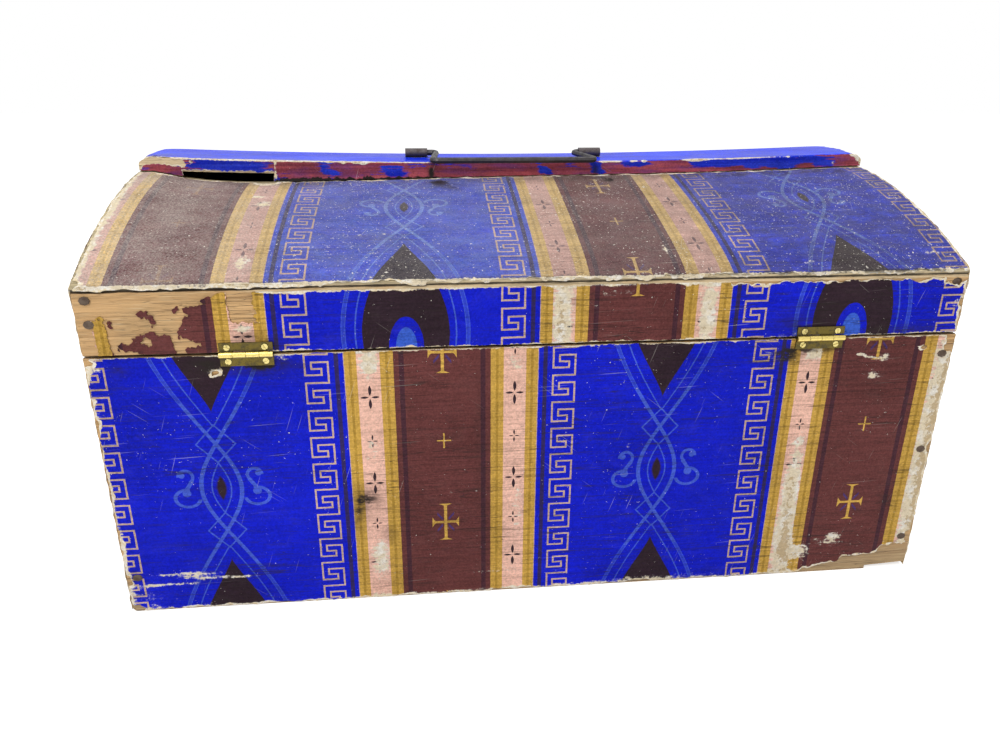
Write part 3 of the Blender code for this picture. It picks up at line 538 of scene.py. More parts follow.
def build_wear():
    """Age on paper: cracks over the board, soiling and painted shade, dust, scuffs, chips, scratches and pale torn
    rims.
    """
    tree, given, put_out = new_group(
        "paper_wear",
        [("Color", "colour"), ("Place", "place"), ("Sheet", "place"), ("Worn", "value"), ("Soiled", "value"),
         ("Torn", "value"), ("Rim", "value"), ("Crack", "value"), ("Dust", "value"), ("Specks", "value")],
        [("Color", "colour"), ("Roughness", "value"), ("Height", "value")])
    place = given["Place"]
    worn, dirt_and_shade, dust, specks = (given[socket] for socket in ("Worn", "Soiled", "Dust", "Specks"))
    tone = cloud(tree, place, 17.0, 6.0, 0.62)
    tooth = cloud(tree, place, 760.0, 3.0, 0.65)
    brushed = streaky_cloud(tree, place, (22, 60, 480), 4.0, 0.6)
    bite = tooth.ramp(0.32, 0.68)
    uneven = tone.ramp(0.3, 0.7) * 0.36 + bite * (dust * 1.2 + 0.46) + brushed.ramp(0.3, 0.7) * 0.32
    colour = shade(tree, given["Color"], uneven - dust * 0.6 + 0.43)
    rubbed = streaky_cloud(tree, place, (46, 60, 70), 6.0, 0.7).ramp(0.52, 0.74)
    colour = paint(tree, colour, rubbed * 0.025, DUST)

    smear = streaky_cloud(tree, place, (90, 90, 190), 5.0, 0.65).ramp(0.27, 0.55)
    colour = paint(tree, colour, (dirt_and_shade * smear).clamped(), SOOT_AND_SHADE)
    colour = paint(tree, colour, given["Crack"] * dust.math("MULTIPLY_ADD", -3.0, 0.76, clamp=True), SOOT_AND_SHADE)

    veil = cloud(tree, place, 36.0, 7.0, 0.7).ramp(0.34, 0.66)
    powder = cloud(tree, place, 820.0, 3.0, 0.7).ramp(0.36, 0.68)
    settled = (veil * 0.9 + powder * 1.5 - 0.22) * dust
    colour = paint(tree, colour, settled.clamped(), DUST)

    flake = cloud(tree, place, 300.0, 8.0, 0.7)
    drag = streaky_cloud(tree, place, (46, 120, 420), 6.0, 0.66)
    rub = flake * 0.95 + drag * 0.75 - 0.35
    scuff = (worn + rub - 1.2).ramp(0.0, 0.04)
    thin = (worn + rub - 1.1).ramp(0.0, 0.18) * 0.35
    speck = cloud(tree, place, 620.0, 3.0, 0.6)
    crowd = cloud(tree, place, 11.0, 3.0)
    chip = (speck + crowd * 0.13 + specks - 0.80).ramp(0.0, 0.02)
    clot = cloud(tree, shifted(tree, place, (0.2, 0.6, 0.4)), 190.0, 6.0, 0.7)
    chip = most(chip, (clot + crowd * 0.2 + specks * 1.3 - 0.86).ramp(0.0, 0.03))
    scratch = most(*(strokes(tree, given["Sheet"], *kind) for kind in SCRATCHES))
    scratch = scratch * crowd.ramp(0.4, 0.7) * (dust * 1.1 + 0.32)
    colour = paint(tree, colour, most(thin, scratch.clamped()), PAPER_CORE)
    bare = most(scuff, chip)
    aged = cloud(tree, place, 130.0, 5.0).ramp(0.37, 0.52)
    colour = paint(tree, colour, bare, PAPER_CORE)
    colour = paint(tree, colour, scuff * aged * 0.75, CREAM)
    worn_through = cloud(tree, shifted(tree, place, (0.5, 0.9, 0.2)), 210.0, 7.0, 0.72)
    deep = (worn * 0.9 + worn_through * 1.6 - 1.74).ramp(0.0, 0.06)
    colour = paint(tree, colour, deep * 0.85, TAN)
    edge = (deep * deep.flipped()).ramp(0.02, 0.25) * flake.ramp(0.45, 0.6)
    colour = paint(tree, colour, edge * 0.55, GRIME)
    colour = shade(tree, colour, most(bare, deep) * (tooth.ramp(0.3, 0.7) - 0.75) * 0.3 + 1.0)

    fray = cloud(tree, place, 460.0, 5.0, 0.75)
    width = cloud(tree, shifted(tree, place, (0.3, 0.1, 0.7)), 75.0, 3.0).ramp(0.36, 0.75) * (3.2 * MM) * given["Rim"]
    rim = (width - given["Torn"] - (fray - 0.5) * (3.0 * MM)).ramp(0.0, 0.4 * MM) * (given["Rim"] > 0.02)
    colour = paint(tree, colour, rim, CREAM)
    colour = paint(tree, colour, rim * fray.ramp(0.44, 0.56), PAPER_CORE)
    # Heavy dirt and painted shade, laid over the pale rims too
    colour = paint(tree, colour, (dirt_and_shade * smear).ramp(0.5, 0.85), SOOT_AND_SHADE)

    put_out(Color=colour)
    put_out(Roughness=(bare * 0.3 + dust * 0.35 + tone * 0.3 + 0.28).clamped())
    wrinkle = streaky_cloud(tree, place, (26, 60, 110), 5.0, 0.55)
    put_out(Height=wrinkle * 0.5 + tooth * 0.05 - given["Crack"] * 0.22 - bare * 0.12)
    return tree


def build_fading():
    """Light on the print: the blues grey most, the pale and gold colours turn dull."""
    tree, given, put_out = new_group(
        "print_fading",
        [("Place", "place"), ("Color", "colour"), ("Pale", "value"), ("Faded", "value"), ("Fading", "value")],
        [("Color", "colour")])
    fading = given["Fading"]
    red, green, blue = split(tree, given["Color"])
    blueness = (blue - red).ramp(0.05, 0.4)
    bleached = cloud(tree, given["Place"], 60.0, 8.0, 0.75).ramp(0.1, 0.9) * given["Faded"] * fading
    colour = paint(tree, given["Color"], bleached * (blueness * 0.75 + 0.25), FADE)
    colour = paint(tree, colour, blueness * green.ramp(0.03, 0.08) * fading * 0.6, FADED_BAND)
    colour = paint(tree, colour, given["Pale"] * fading * 0.85, DULL_PINK)
    colour = paint(tree, colour, (green - blue).ramp(0.12, 0.22) * fading * 0.8, DULL_GOLD)
    put_out(Color=colour)
    return tree


# Along the lid's back rail: right of the first pair paper is left on its upper edge, left of the second the crack
# above it widens
RESIDUE_START = (-0.21, -0.19)
GAPE_START = (-0.15, -0.20)


def build_weather():
    """A bare board: dark streaks, pale fibres, grey towards the floor and in patches, darker along the seam and in
    cracks, and a painted shade in the gap below the dome.
    """
    tree, given, put_out = new_group(
        "board_weather",
        [("Place", "place"), ("Light", "colour"), ("Dark", "colour"), ("Grey", "colour"), ("Streak", "value"),
         ("Crack", "value"), ("Fibre", "value"), ("Streaks", "value"), ("Joint", "value")],
        [("Color", "colour"), ("Roughness", "value"), ("Height", "value")])
    place = given["Place"]
    streak, crack, streaks = (given[socket] for socket in ("Streak", "Crack", "Streaks"))
    along, _, up = split(tree, place)
    colour = paint(tree, given["Light"], streak.ramp(0.38, 0.64) * streaks, given["Dark"])
    patch = cloud(tree, place, 26.0, 6.0, 0.65)
    weather = most(patch.ramp(0.45, 0.75), up.ramp(40 * MM, 12 * MM)) * 0.6
    colour = paint(tree, colour, weather, given["Grey"])
    colour = shade(tree, colour, streak.ramp(0.35, 0.65) * -0.26 + 1.13)
    colour = paint(tree, colour, given["Fibre"] * 0.35, CREAM)
    seam = abs(up - (BODY_TOP + RAIL_BOTTOM) / 2).ramp(1.4 * MM, 0.5 * MM) * patch.ramp(0.25, 0.5)

    # Paper left on the rail's upper edge, and the crack between it and the dome painted dark as shade, wider at the
    # bare left end
    residue = up.ramp(RAIL_TOP - 1 * MM, RAIL_TOP) * along.ramp(*RESIDUE_START) * patch.ramp(0.3, 0.45)
    colour = paint(tree, colour, residue * given["Joint"] * 0.7, CREAM)
    shaded_gap = cloud(tree, place, 60.0, 5.0, 0.7).ramp(0.25, 0.65) * (0.6 * MM)
    shaded_gap = shaded_gap + along.ramp(*GAPE_START) * (0.6 * MM)
    joint_shade = (shaded_gap + 0.45 * MM - abs(up - RAIL_JOINT)).ramp(-0.1 * MM, 0.3 * MM) * given["Joint"]
    # Darker along the seam between body and lid, and painted shade in the gap where the dome stands on the rail
    colour = paint(tree, colour, most(seam, joint_shade) * 0.88, SOOT_AND_SHADE)
    colour = paint(tree, colour, crack * (streaks * 0.4 + 0.35), SOOT_AND_SHADE)
    put_out(Color=colour, Roughness=streak * 0.2 + 0.6, Height=streak - crack)
    return tree


def build_tarnish():
    """Metal under tarnish: blotches over the clean colour, fewer where it is rubbed and given a painted highlight,
    and dark pits.
    """
    tree, given, put_out = new_group(
        "metal_tarnish",
        [("Place", "place"), ("Clean", "colour"), ("Tarnish", "colour"), ("Pit", "colour"), ("Amount", "value"),
         ("Rubbed", "value")],
        [("Color", "colour"), ("Skin", "value"), ("Grit", "value"), ("Height", "value")])
    amount = given["Amount"]
    blotch = cloud(tree, given["Place"], 240.0, 6.0, 0.68)
    skin = ((blotch + amount * 0.36 - 0.64) / (amount * 0.06 + 0.14)).clamped()
    skin = skin * given["Rubbed"].math("MULTIPLY_ADD", -0.9, 1.0)
    grit = cloud(tree, given["Place"], 1300.0, 3.0, 0.6)
    colour = paint(tree, given["Clean"], skin * 0.85, given["Tarnish"])
    colour = paint(tree, colour, grit.ramp(0.56, 0.72) * 0.6, given["Pit"])
    put_out(Color=colour, Skin=skin, Grit=grit, Height=grit * 0.4 + blotch * 0.6)
    return tree


WALLPAPER = build_wallpaper()
GRAIN = build_grain()
WEAR = build_wear()
FADING = build_fading()
WEATHER = build_weather()
TARNISH = build_tarnish()


# Materials

def new_material(name, colour):
    """A material with its shader. Returns it, its tree and the shader node."""
    material = bpy.data.materials.new(name)
    material.use_nodes = True
    material.diffuse_color = colour
    tree = material.node_tree
    return material, tree, tree.nodes["Principled BSDF"]


def object_place(tree):
    return tree.nodes.new("ShaderNodeTexCoord").outputs["Object"]


def mark(tree, name):
    """A value that a sheet carries on its points."""
    node = tree.nodes.new("ShaderNodeAttribute")
    node.attribute_name = name
    return Ink(tree, node.outputs["Fac"])


def print_place(tree):
    node = tree.nodes.new("ShaderNodeUVMap")
    node.uv_map = "print"
    return node.outputs["UV"]


def age(tree, colour, place, worn, crack, specks):
    """Lay the marks that a sheet carries over its colour."""
    return use_group(
        tree, WEAR, Color=colour, Place=place, Sheet=print_place(tree), Worn=worn,
        Soiled=mark(tree, "dirt_and_shade"), Torn=mark(tree, "torn"), Rim=mark(tree, "rim"), Crack=crack,
        Dust=mark(tree, "dust"), Specks=specks)


# The thick pale colour flakes more than the rest of the print
PALE_WEAR = 0.2


def sheet_material(name, shown, fading, specks):
    """Printed paper with its age. Fading is how far the light has greyed it, specks is how thick white specks lie."""
    material, tree, shader = new_material(name, shown)
    place = object_place(tree)
    pattern = use_group(tree, WALLPAPER, Place=print_place(tree), Figures=mark(tree, "figures"))
    faded = use_group(
        tree, FADING, Place=place, Color=pattern["Color"], Pale=pattern["Pale"], Faded=mark(tree, "faded"),
        Fading=fading)
    grain = use_group(tree, GRAIN, Place=place)
    rubbed = mark(tree, "worn") + Ink(tree, pattern["Pale"]) * PALE_WEAR
    worn = age(tree, faded["Color"], place, rubbed, grain["Crack"], specks)
    feed(tree, shader.inputs["Base Color"], worn["Color"])
    feed(tree, shader.inputs["Roughness"], worn["Roughness"])
    feed(tree, shader.inputs["Normal"], bump(tree, worn["Height"], 1.4 * MM, 0.6))
    shader.inputs["Specular IOR Level"].default_value = 0.04
    return material


def turned(tree, place):
    """Coordinates with their X and Y swapped, for boards that lie across the box."""
    across, along, up = split(tree, place)
    node = tree.nodes.new("ShaderNodeCombineXYZ")
    for socket, value in zip(node.inputs, (along, across, up)):
        feed(tree, socket, value)
    return node.outputs["Vector"]


def wood_material(name, light, dark, grey, crosswise=False, streaks=1.0):
    """Bare board with its grain along the box, or crosswise. Only boards along the box meet the dome's joint."""
    material, tree, shader = new_material(name, light)
    place = object_place(tree)
    grain = use_group(tree, GRAIN, Place=turned(tree, place) if crosswise else place)
    board = use_group(
        tree, WEATHER, Place=place, Light=light, Dark=dark, Grey=grey, Streak=grain["Streak"], Crack=grain["Crack"],
        Fibre=grain["Fibre"], Streaks=streaks, Joint=0.0 if crosswise else 1.0)
    feed(tree, shader.inputs["Base Color"], board["Color"])
    feed(tree, shader.inputs["Roughness"], board["Roughness"])
    feed(tree, shader.inputs["Normal"], bump(tree, board["Height"], 0.6 * MM, 0.7))
    shader.inputs["Specular IOR Level"].default_value = 0.2
    return material


def metal_material(name, clean, tarnish, pit, amount, metallic, rough, rubbed=None):
    """Tarnished metal. What stands proud of the box may be rubbed, and given a lighter colour as a painted highlight.
    """
    material, tree, shader = new_material(name, clean)
    place = object_place(tree)
    rubbed_highlight = 0.0
    if rubbed:
        _, depth, _ = split(tree, place)
        rubbed_highlight = depth.ramp(LEAF_FACE, BARREL_FACE)
        clean = paint(tree, clean, rubbed_highlight, rubbed)
    metal = use_group(
        tree, TARNISH, Place=place, Clean=clean, Tarnish=tarnish, Pit=pit, Amount=amount, Rubbed=rubbed_highlight)
    skin = Ink(tree, metal["Skin"])
    feed(tree, shader.inputs["Base Color"], metal["Color"])
    feed(tree, shader.inputs["Metallic"], skin.math("MULTIPLY_ADD", -0.5 * metallic, metallic))
    feed(tree, shader.inputs["Roughness"], (skin * 0.22 + Ink(tree, metal["Grit"]) * 0.15 + rough).clamped())
    feed(tree, shader.inputs["Normal"], bump(tree, metal["Height"], 0.3 * MM, 0.6))
    return material


def ridge_material():
    """Glossy plain blue paper over a red one, which shows on the sides and along the rubbed edges. The top's blue is
    painted lighter as a sheen, the sides' darker as shade.
    """
    material, tree, shader = new_material("ridge_blue_paper", srgb(40, 60, 200))
    place = object_place(tree)
    patchy = streaky_cloud(tree, place, (24, 60, 210), 6.0, 0.66)
    red = (mark(tree, "under") + patchy * 2.4 - 1.7).ramp(0.0, 0.1)
    streak = streaky_cloud(tree, place, (9, 70, 260), 5.0, 0.6)
    # Painted sheen: the top's blue is lighter than the sides' blue
    shaded_side_blue = paint(tree, srgb(20, 34, 172), streak.ramp(0.38, 0.66), srgb(44, 62, 196))
    sheen_top_blue = paint(tree, srgb(14, 42, 206), streak.ramp(0.36, 0.66), srgb(34, 68, 236))
    blue = paint(tree, shaded_side_blue, mark(tree, "top"), sheen_top_blue)
    dull_red = paint(tree, srgb(170, 80, 88), streak.ramp(0.42, 0.62), srgb(128, 57, 69))
    stain = streaky_cloud(tree, place, (30, 60, 160), 4.0).ramp(0.46, 0.66)
    dull_red = paint(tree, dull_red, stain * 0.45, srgb(64, 50, 130))
    colour = paint(tree, blue, red, dull_red)
    grain = use_group(tree, GRAIN, Place=place)
    worn = age(tree, colour, place, mark(tree, "worn"), Ink(tree, grain["Crack"]) * 0.4, 0.0)
    feed(tree, shader.inputs["Base Color"], worn["Color"])
    feed(tree, shader.inputs["Roughness"], (Ink(tree, worn["Roughness"]) - 0.1).clamped())
    feed(tree, shader.inputs["Normal"], bump(tree, worn["Height"], 1.0 * MM, 0.35))
    shader.inputs["Specular IOR Level"].default_value = 0.03
    shader.inputs["Coat Weight"].default_value = 0.015
    shader.inputs["Coat Roughness"].default_value = 0.2
    return material


PRINTED = sheet_material("printed_paper", BLUE, 0.04, 0.012)
FADED = sheet_material("faded_paper", srgb(90, 100, 176), 0.56, 0.071)
RIDGE_PAPER = ridge_material()
PINE_TONES = (srgb(214, 176, 124), srgb(172, 130, 84), srgb(150, 134, 108))
PINE = wood_material("bare_pine", *PINE_TONES)
PINE_ACROSS = wood_material("bare_pine_across", *PINE_TONES, crosswise=True)
TORN_PINE = wood_material(
    "paper_stained_pine", srgb(206, 167, 118), srgb(180, 140, 94), srgb(172, 146, 108), streaks=0.55)
RIDGE_PINE = wood_material(
    "pale_ridge_pine", srgb(236, 218, 182), srgb(204, 176, 134), srgb(206, 190, 160), streaks=0.6)
PANEL_BOARD = wood_material("thin_panel_board", srgb(204, 188, 150), srgb(146, 132, 102), srgb(150, 142, 118))
# The barrels' lighter colour is rubbing and partly a painted highlight
BRASS = metal_material(
    "dull_brass", srgb(100, 87, 44), srgb(62, 54, 28), srgb(32, 27, 16), 0.5, 1.0, 0.26, rubbed=srgb(226, 204, 122))
# Screws lighter than the leaves: less tarnished, and partly a painted highlight
SCREW_BRASS_HIGHLIGHT = metal_material("screw_brass_highlight", srgb(206, 190, 124), srgb(128, 114, 64), srgb(48, 42, 24), 0.3, 1.0, 0.2)
WIRE = metal_material("dark_wire", srgb(68, 65, 68), srgb(40, 35, 34), srgb(22, 18, 18), 0.6, 0.8, 0.3)
STRAP_IRON = metal_material("rusty_strap", srgb(84, 77, 78), srgb(66, 54, 47), srgb(30, 24, 22), 0.5, 0.6, 0.42)
NAIL_IRON = metal_material("rusty_nail", srgb(96, 81, 68), srgb(74, 56, 44), srgb(38, 28, 22), 0.6, 0.4, 0.55)

SLOT_FINISHES = {
    "pine": PINE, "panel_board": PANEL_BOARD, "printed_paper": PRINTED, "faded_paper": FADED,
    "ridge_paper": RIDGE_PAPER, "brass": BRASS, "iron": NAIL_IRON,
}
NODE_FINISHES = {
    "handle_bail": WIRE, "closure_hook": WIRE, "lid_back_rail": TORN_PINE, "ridge_board": RIDGE_PINE,
}
for name in NODES:
    if name.startswith("screw_"):
        NODE_FINISHES[name] = SCREW_BRASS_HIGHLIGHT
    elif name.startswith("handle_loop_"):
        NODE_FINISHES[name] = STRAP_IRON
    elif name.endswith(("_left_end", "_right_end")):
        NODE_FINISHES[name] = PINE_ACROSS


def dress_frame():
    """Give every solid of the frame the finish of its own name, or else of the slot that its record names."""
    for subpart in frame["record"]["subparts"]:
        name = subpart["node"]
        finish = NODE_FINISHES.get(name, SLOT_FINISHES[subpart["material_slot"]])
        solid = NODES[name]
        if not solid.data.materials:
            solid.data.materials.append(finish)
        for slot in solid.material_slots:
            slot.material = finish


# Torn sheets

def waver(along, across, size, seed):
    """Uneven noise about 0, with lumps of a size."""
    return noise.fractal(Vector((along / size, across / size, seed)), 0.8, 2.0, 4)


def blob_distance(u, v, blob):
    """Distance outside an ellipse, negative inside it."""
    middle_u, middle_v, half_u, half_v = blob
    reach = math.hypot((u - middle_u) / half_u, (v - middle_v) / half_v)
    return (reach - 1) * min(half_u, half_v)


def outline_distance(u, v, points):
    """Distance inside an outline of (u, v) points, negative outside it."""
    inside = False
    nearest = math.inf
    for (u0, v0), (u1, v1) in zip(points, points[1:] + points[:1]):
        along_u = u1 - u0
        along_v = v1 - v0
        share = ((u - u0) * along_u + (v - v0) * along_v) / (along_u ** 2 + along_v ** 2)
        share = min(1.0, max(0.0, share))
        nearest = min(nearest, math.hypot(u - u0 - share * along_u, v - v0 - share * along_v))
        if (v0 > v) != (v1 > v) and u < u0 + (v - v0) * along_u / along_v:
            inside = not inside
    return nearest if inside else -nearest


def in_metres(rows):
    """Places and reaches from millimetres to metres. The fifth value of a row is a strength and stays as it is."""
    return [tuple(value * MM for value in row[:4]) + row[4:] for row in rows]


def spot_sum(u, v, marks):
    """Strength of a mark at a place: each spot fades out from its middle."""
    total = 0.0
    for middle_u, middle_v, half_u, half_v, strength in marks:
        distance = ((u - middle_u) / half_u) ** 2 + ((v - middle_v) / half_v) ** 2
        if distance < 6:
            total += strength * math.exp(-distance)
    return min(1.0, total)


def rise(distance, reach):
    """1 at an edge, falling to 0 at a reach from it."""
    return min(1.0, max(0.0, 1 - distance / reach))


def height_at(line, u):
    """Height of a broken line of (u, v) points over a place."""
    for (u0, v0), (u1, v1) in zip(line, line[1:]):
        if u <= u1:
            return v0 + (v1 - v0) * max(0.0, (u - u0) / (u1 - u0))
    return line[-1][1]


def steps(low, high, size):
    count = max(1, round((high - low) / size))
    return [low + (high - low) * i / count for i in range(count + 1)]


def graded(side, size, fine, first, last):
    """Places along a side: close together over its first and last stretch, where paper tears, and wider between."""
    low, high = side
    middle = steps(low + first, high - last, size)
    return steps(low, low + first, fine) + middle[1:-1] + steps(high - last, high, fine)


def no_mark(u, v):
    return 0.0


def full_mark(u, v):
    return 1.0


class Sheet:
    """A pasted sheet on a grid of (u, v) places in metres, torn away where its keep value is negative."""

    def __init__(self, name, us, vs, place, keep, print_at):
        self.name = name
        self.us = us
        self.vs = vs
        self.place = place
        self.keep = keep
        self.print_at = print_at
        self.marks = {
            "worn": no_mark, "dirt_and_shade": no_mark, "dust": no_mark,
            "rim": full_mark, "faded": full_mark, "figures": full_mark,
        }
        self.curl = CURL
        self.points = []
        self.found = {}

    def corner(self, i, j):
        if (i, j) not in self.found:
            self.found[i, j] = self.add_point(self.us[i], self.vs[j], self.left[i][j])
        return self.found[i, j]

    def crossing(self, a, b):
        key = (min(a, b), max(a, b))
        if key not in self.found:
            (i, j), (k, m) = key
            share = self.left[i][j] / (self.left[i][j] - self.left[k][m])
            u = self.us[i] + (self.us[k] - self.us[i]) * share
            v = self.vs[j] + (self.vs[m] - self.vs[j]) * share
            self.found[key] = self.add_point(u, v, 0.0)
        return self.found[key]

    def add_point(self, u, v, torn):
        self.points.append((u, v, torn))
        return len(self.points) - 1

    def cut_faces(self):
        """Faces of the grid, those on the torn line cut along it."""
        self.left = [[self.keep(u, v) for v in self.vs] for u in self.us]
        faces = []
        for i in range(len(self.us) - 1):
            for j in range(len(self.vs) - 1):
                ring = ((i, j), (i + 1, j), (i + 1, j + 1), (i, j + 1))
                face = []
                for a, b in zip(ring, ring[1:] + ring[:1]):
                    here = self.left[a[0]][a[1]] > 0
                    there = self.left[b[0]][b[1]] > 0
                    if here:
                        face.append(self.corner(*a))
                    if here != there:
                        face.append(self.crossing(a, b))
                if len(face) > 2:
                    faces.append(face)
        return faces

    def build(self, material, body, node):
        faces = self.cut_faces()
        mesh = bpy.data.meshes.new(self.name)
        verts = []
        for u, v, torn in self.points:
            curl = self.curl * rise(torn, CURL_REACH) ** 2
            verts.append(self.place(u, v, curl * max(0.0, 0.3 + waver(u, v, 9 * MM, 3.3))))
        mesh.from_pydata(verts, [], faces)
        layer = mesh.uv_layers.new(name="print")
        for loop in mesh.loops:
            u, v, _ = self.points[loop.vertex_index]
            layer.data[loop.index].uv = self.print_at(u, v)
        edge = mesh.attributes.new("torn", "FLOAT", "POINT")
        edge.data.foreach_set("value", [torn for _, _, torn in self.points])
        for mark_name, value in self.marks.items():
            layer = mesh.attributes.new(mark_name, "FLOAT", "POINT")
            layer.data.foreach_set("value", [value(u, v) for u, v, _ in self.points])
        mesh.polygons.foreach_set("use_smooth", [True] * len(mesh.polygons))
        mesh.materials.append(material)
        mesh.update()
        piece = bpy.data.objects.new(self.name, mesh)
        bpy.context.scene.collection.objects.link(piece)
        skin = piece.modifiers.new("thickness", "SOLIDIFY")
        skin.thickness = PAPER
        skin.offset = -1.0
        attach(piece, body)
        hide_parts(node)


def edge_keep(u, v, width, height, depths, seed):
    """Distance inside four ragged edges: left, right, low and high, each torn back by about its depth."""
    left, right, low, high = depths
    ragged = 0.75 + 0.9 * waver(u, v, 16 * MM, seed) + 0.5 * waver(u, v, 4 * MM, seed + 5)
    return min(
        u - width[0] - left * ragged, width[1] - u - right * ragged,
        v - height[0] - low * ragged, height[1] - v - high * ragged)


def torn_off(kept, u, v, blobs, seed):
    """What is left after patches have come away."""
    ragged = 2.2 * MM * waver(u, v, 7 * MM, seed)
    for blob in blobs:
        kept = min(kept, blob_distance(u, v, blob) + ragged)
    return kept


def on_back(u, v, lift):
    return (u, BACK_FACE - lift, v)


def on_front(u, v, lift):
    return (-u, FRONT_FACE + lift, v)


def body_print(u, v):
    """The sheet on the back, drawn out a little towards its right end."""
    return (u - 0.3 * max(0.0, u - 0.2) ** 2 - BODY_RED_X, v - BODY_EYE_Z)


def rail_print(u, v):
    """The strip on the rail, upside down and laid on a slight slope."""
    return (LID_RED_X - u, RAIL_EYE_Z - v + RAIL_SLOPE * u)


# The back of the body

BODY_WIDTH = (-HALF_LENGTH, HALF_LENGTH)
BODY_HEIGHT = (BACK_LOW[2], BODY_TOP)

# Lower right: where the paper ends above the broken corner
BROKEN_LINE = in_metres([
    (205, -2), (216, 4.5), (236, 7.5), (246, 10), (248.5, 14.5), (268, 13.8), (278, 16), (281, 21.4), (288, 23.5),
    (310, 24.5),
])
BODY_TORN = in_metres([
    (-306, 200, 6, 4), (-305.5, 148, 2.5, 18), (-306, 3, 9, 4), (-306, 66, 3, 14), (305.5, 196, 8, 10),
    (306, 108, 4, 7), (304, 30, 5, 6), (-304, 29, 3, 4), (-222.5, 189.5, 3, 2.2), (281.5, 192.5, 2.2, 1.4),
    (80, 0, 12, 3.5), (-20, -1, 24, 3),
])
BODY_WORN = in_metres([
    # left edge and corner
    (-300, 194, 10, 8, 0.55), (-299, 160, 8, 18, 0.34), (-302, 60, 5, 50, 0.3), (-292, 14, 12, 12, 0.42),
    # scuffs across the foot of the first blue field
    (-262, 31.5, 40, 2.6, 0.68), (-256, 27.5, 16, 2.2, 0.58), (-272, 22.5, 26, 2, 0.62), (-226, 26, 26, 2.2, 0.62),
    (-250, 12, 44, 7, 0.32), (-200, 16, 20, 8, 0.25),
    # round the hinges
    (-223, 190, 9, 7, 0.55), (-185, 198.5, 26, 3, 0.55), (-195, 185, 18, 2, 0.35), (176, 186, 20, 10, 0.33),
    (160, 192, 16, 6, 0.33), (200, 190, 8, 6, 0.6),
    # pale columns
    (-120.5, 192, 8, 14, 0.62), (-120.5, 130, 8, 20, 0.36), (-119, 35, 9, 22, 0.56), (-16.5, 75, 6, 35, 0.36),
    (-19.5, 190, 8, 10, 0.36), (197, 118, 7, 16, 0.42), (197, 85, 8, 20, 0.62), (197, 50, 9, 26, 0.72),
    (199, 16, 10, 20, 0.66), (301.5, 150, 12, 60, 0.70), (301, 60, 12, 60, 0.66),
    # dark red columns
    (-66, 92, 4, 5, 0.5), (-60, 192, 24, 8, 0.36), (-45, 20, 30, 12, 0.42), (246.5, 172, 10, 6, 0.68),
    (232.5, 188.5, 5, 1.6, 0.62), (239.5, 186.5, 5, 1.4, 0.58), (246.5, 184.5, 5, 1.6, 0.62),
    (253.5, 187, 3.5, 2.6, 0.6), (254.5, 182.8, 5, 1.2, 0.56), (250, 190, 24, 5, 0.25), (240, 28, 34, 14, 0.46),
    (238.5, 33, 5, 4, 0.4), (214, 18, 8, 10, 0.45), (287, 186, 8, 10, 0.3),
    # second blue field
    (66, 122, 4, 5, 0.6), (62, 131, 4, 2.5, 0.42), (90, 6, 60, 6, 0.3),
])
# Dark marks: painted shadow and dirt round the hinges' leaves, rust round the nails, and smears
BODY_DIRT_AND_SHADOW = in_metres([
    (-126, 87, 10, 8, 0.8), (-134, 75, 5, 16, 0.66), (-112, 56, 5, 8, 0.6), (-192, 193.5, 24, 5, 1.0),
    (-228, 194, 12, 6, 0.9), (177, 189, 12, 7, 0.9), (200, 192.5, 24, 3, 0.7), (298, 187, 5, 5, 0.8),
    (298, 109, 5, 6, 0.8), (298, 30, 6, 6, 0.8), (-300, 30, 5, 5, 0.7), (-45, 140, 3, 50, 0.25),
    (277, 64, 5, 5, 0.55), (-285, 192, 6, 4, 0.6), (-40, 60, 3, 30, 0.22),
])


def body_back_keep(u, v):
    """Paper left on the back: ragged edges, and the lower right corner broken away."""
    kept = edge_keep(u, v, BODY_WIDTH, BODY_HEIGHT, (0.9 * MM, 1.0 * MM, 0.9 * MM, 0.4 * MM), 1.7)
    broken = v - height_at(BROKEN_LINE, u) + 2.0 * MM * waver(u, v, 8 * MM, 8.1)
    return torn_off(min(kept, broken), u, v, BODY_TORN, 4.2)


def body_back_worn(u, v):
    rims = 0.62 * rise(v - BODY_HEIGHT[0], 7 * MM) + 0.42 * rise(BODY_TOP - v, 2.5 * MM)
    rims += 0.48 * rise(HALF_LENGTH - abs(u), 5 * MM)
    return min(1.0, 0.12 + rims + spot_sum(u, v, BODY_WORN))


def build_body_back():
    us = graded(BODY_WIDTH, 2.4 * MM, 0.8 * MM, 14 * MM, 14 * MM)
    vs = graded(BODY_HEIGHT, 2.4 * MM, 0.8 * MM, 26 * MM, 16 * MM)
    sheet = Sheet("body_back_sheet", us, vs, on_back, body_back_keep, body_print)
    sheet.marks["worn"] = body_back_worn
    sheet.marks["dirt_and_shade"] = lambda u, v: spot_sum(u, v, BODY_DIRT_AND_SHADOW)
    sheet.marks["rim"] = lambda u, v: 1 - 0.7 * rise(BODY_TOP - v, 5 * MM)
    sheet.build(PRINTED, "box", "body_back_paper")


# The back of the lid

RAIL_HEIGHT = (RAIL_BOTTOM, RAIL_TOP)

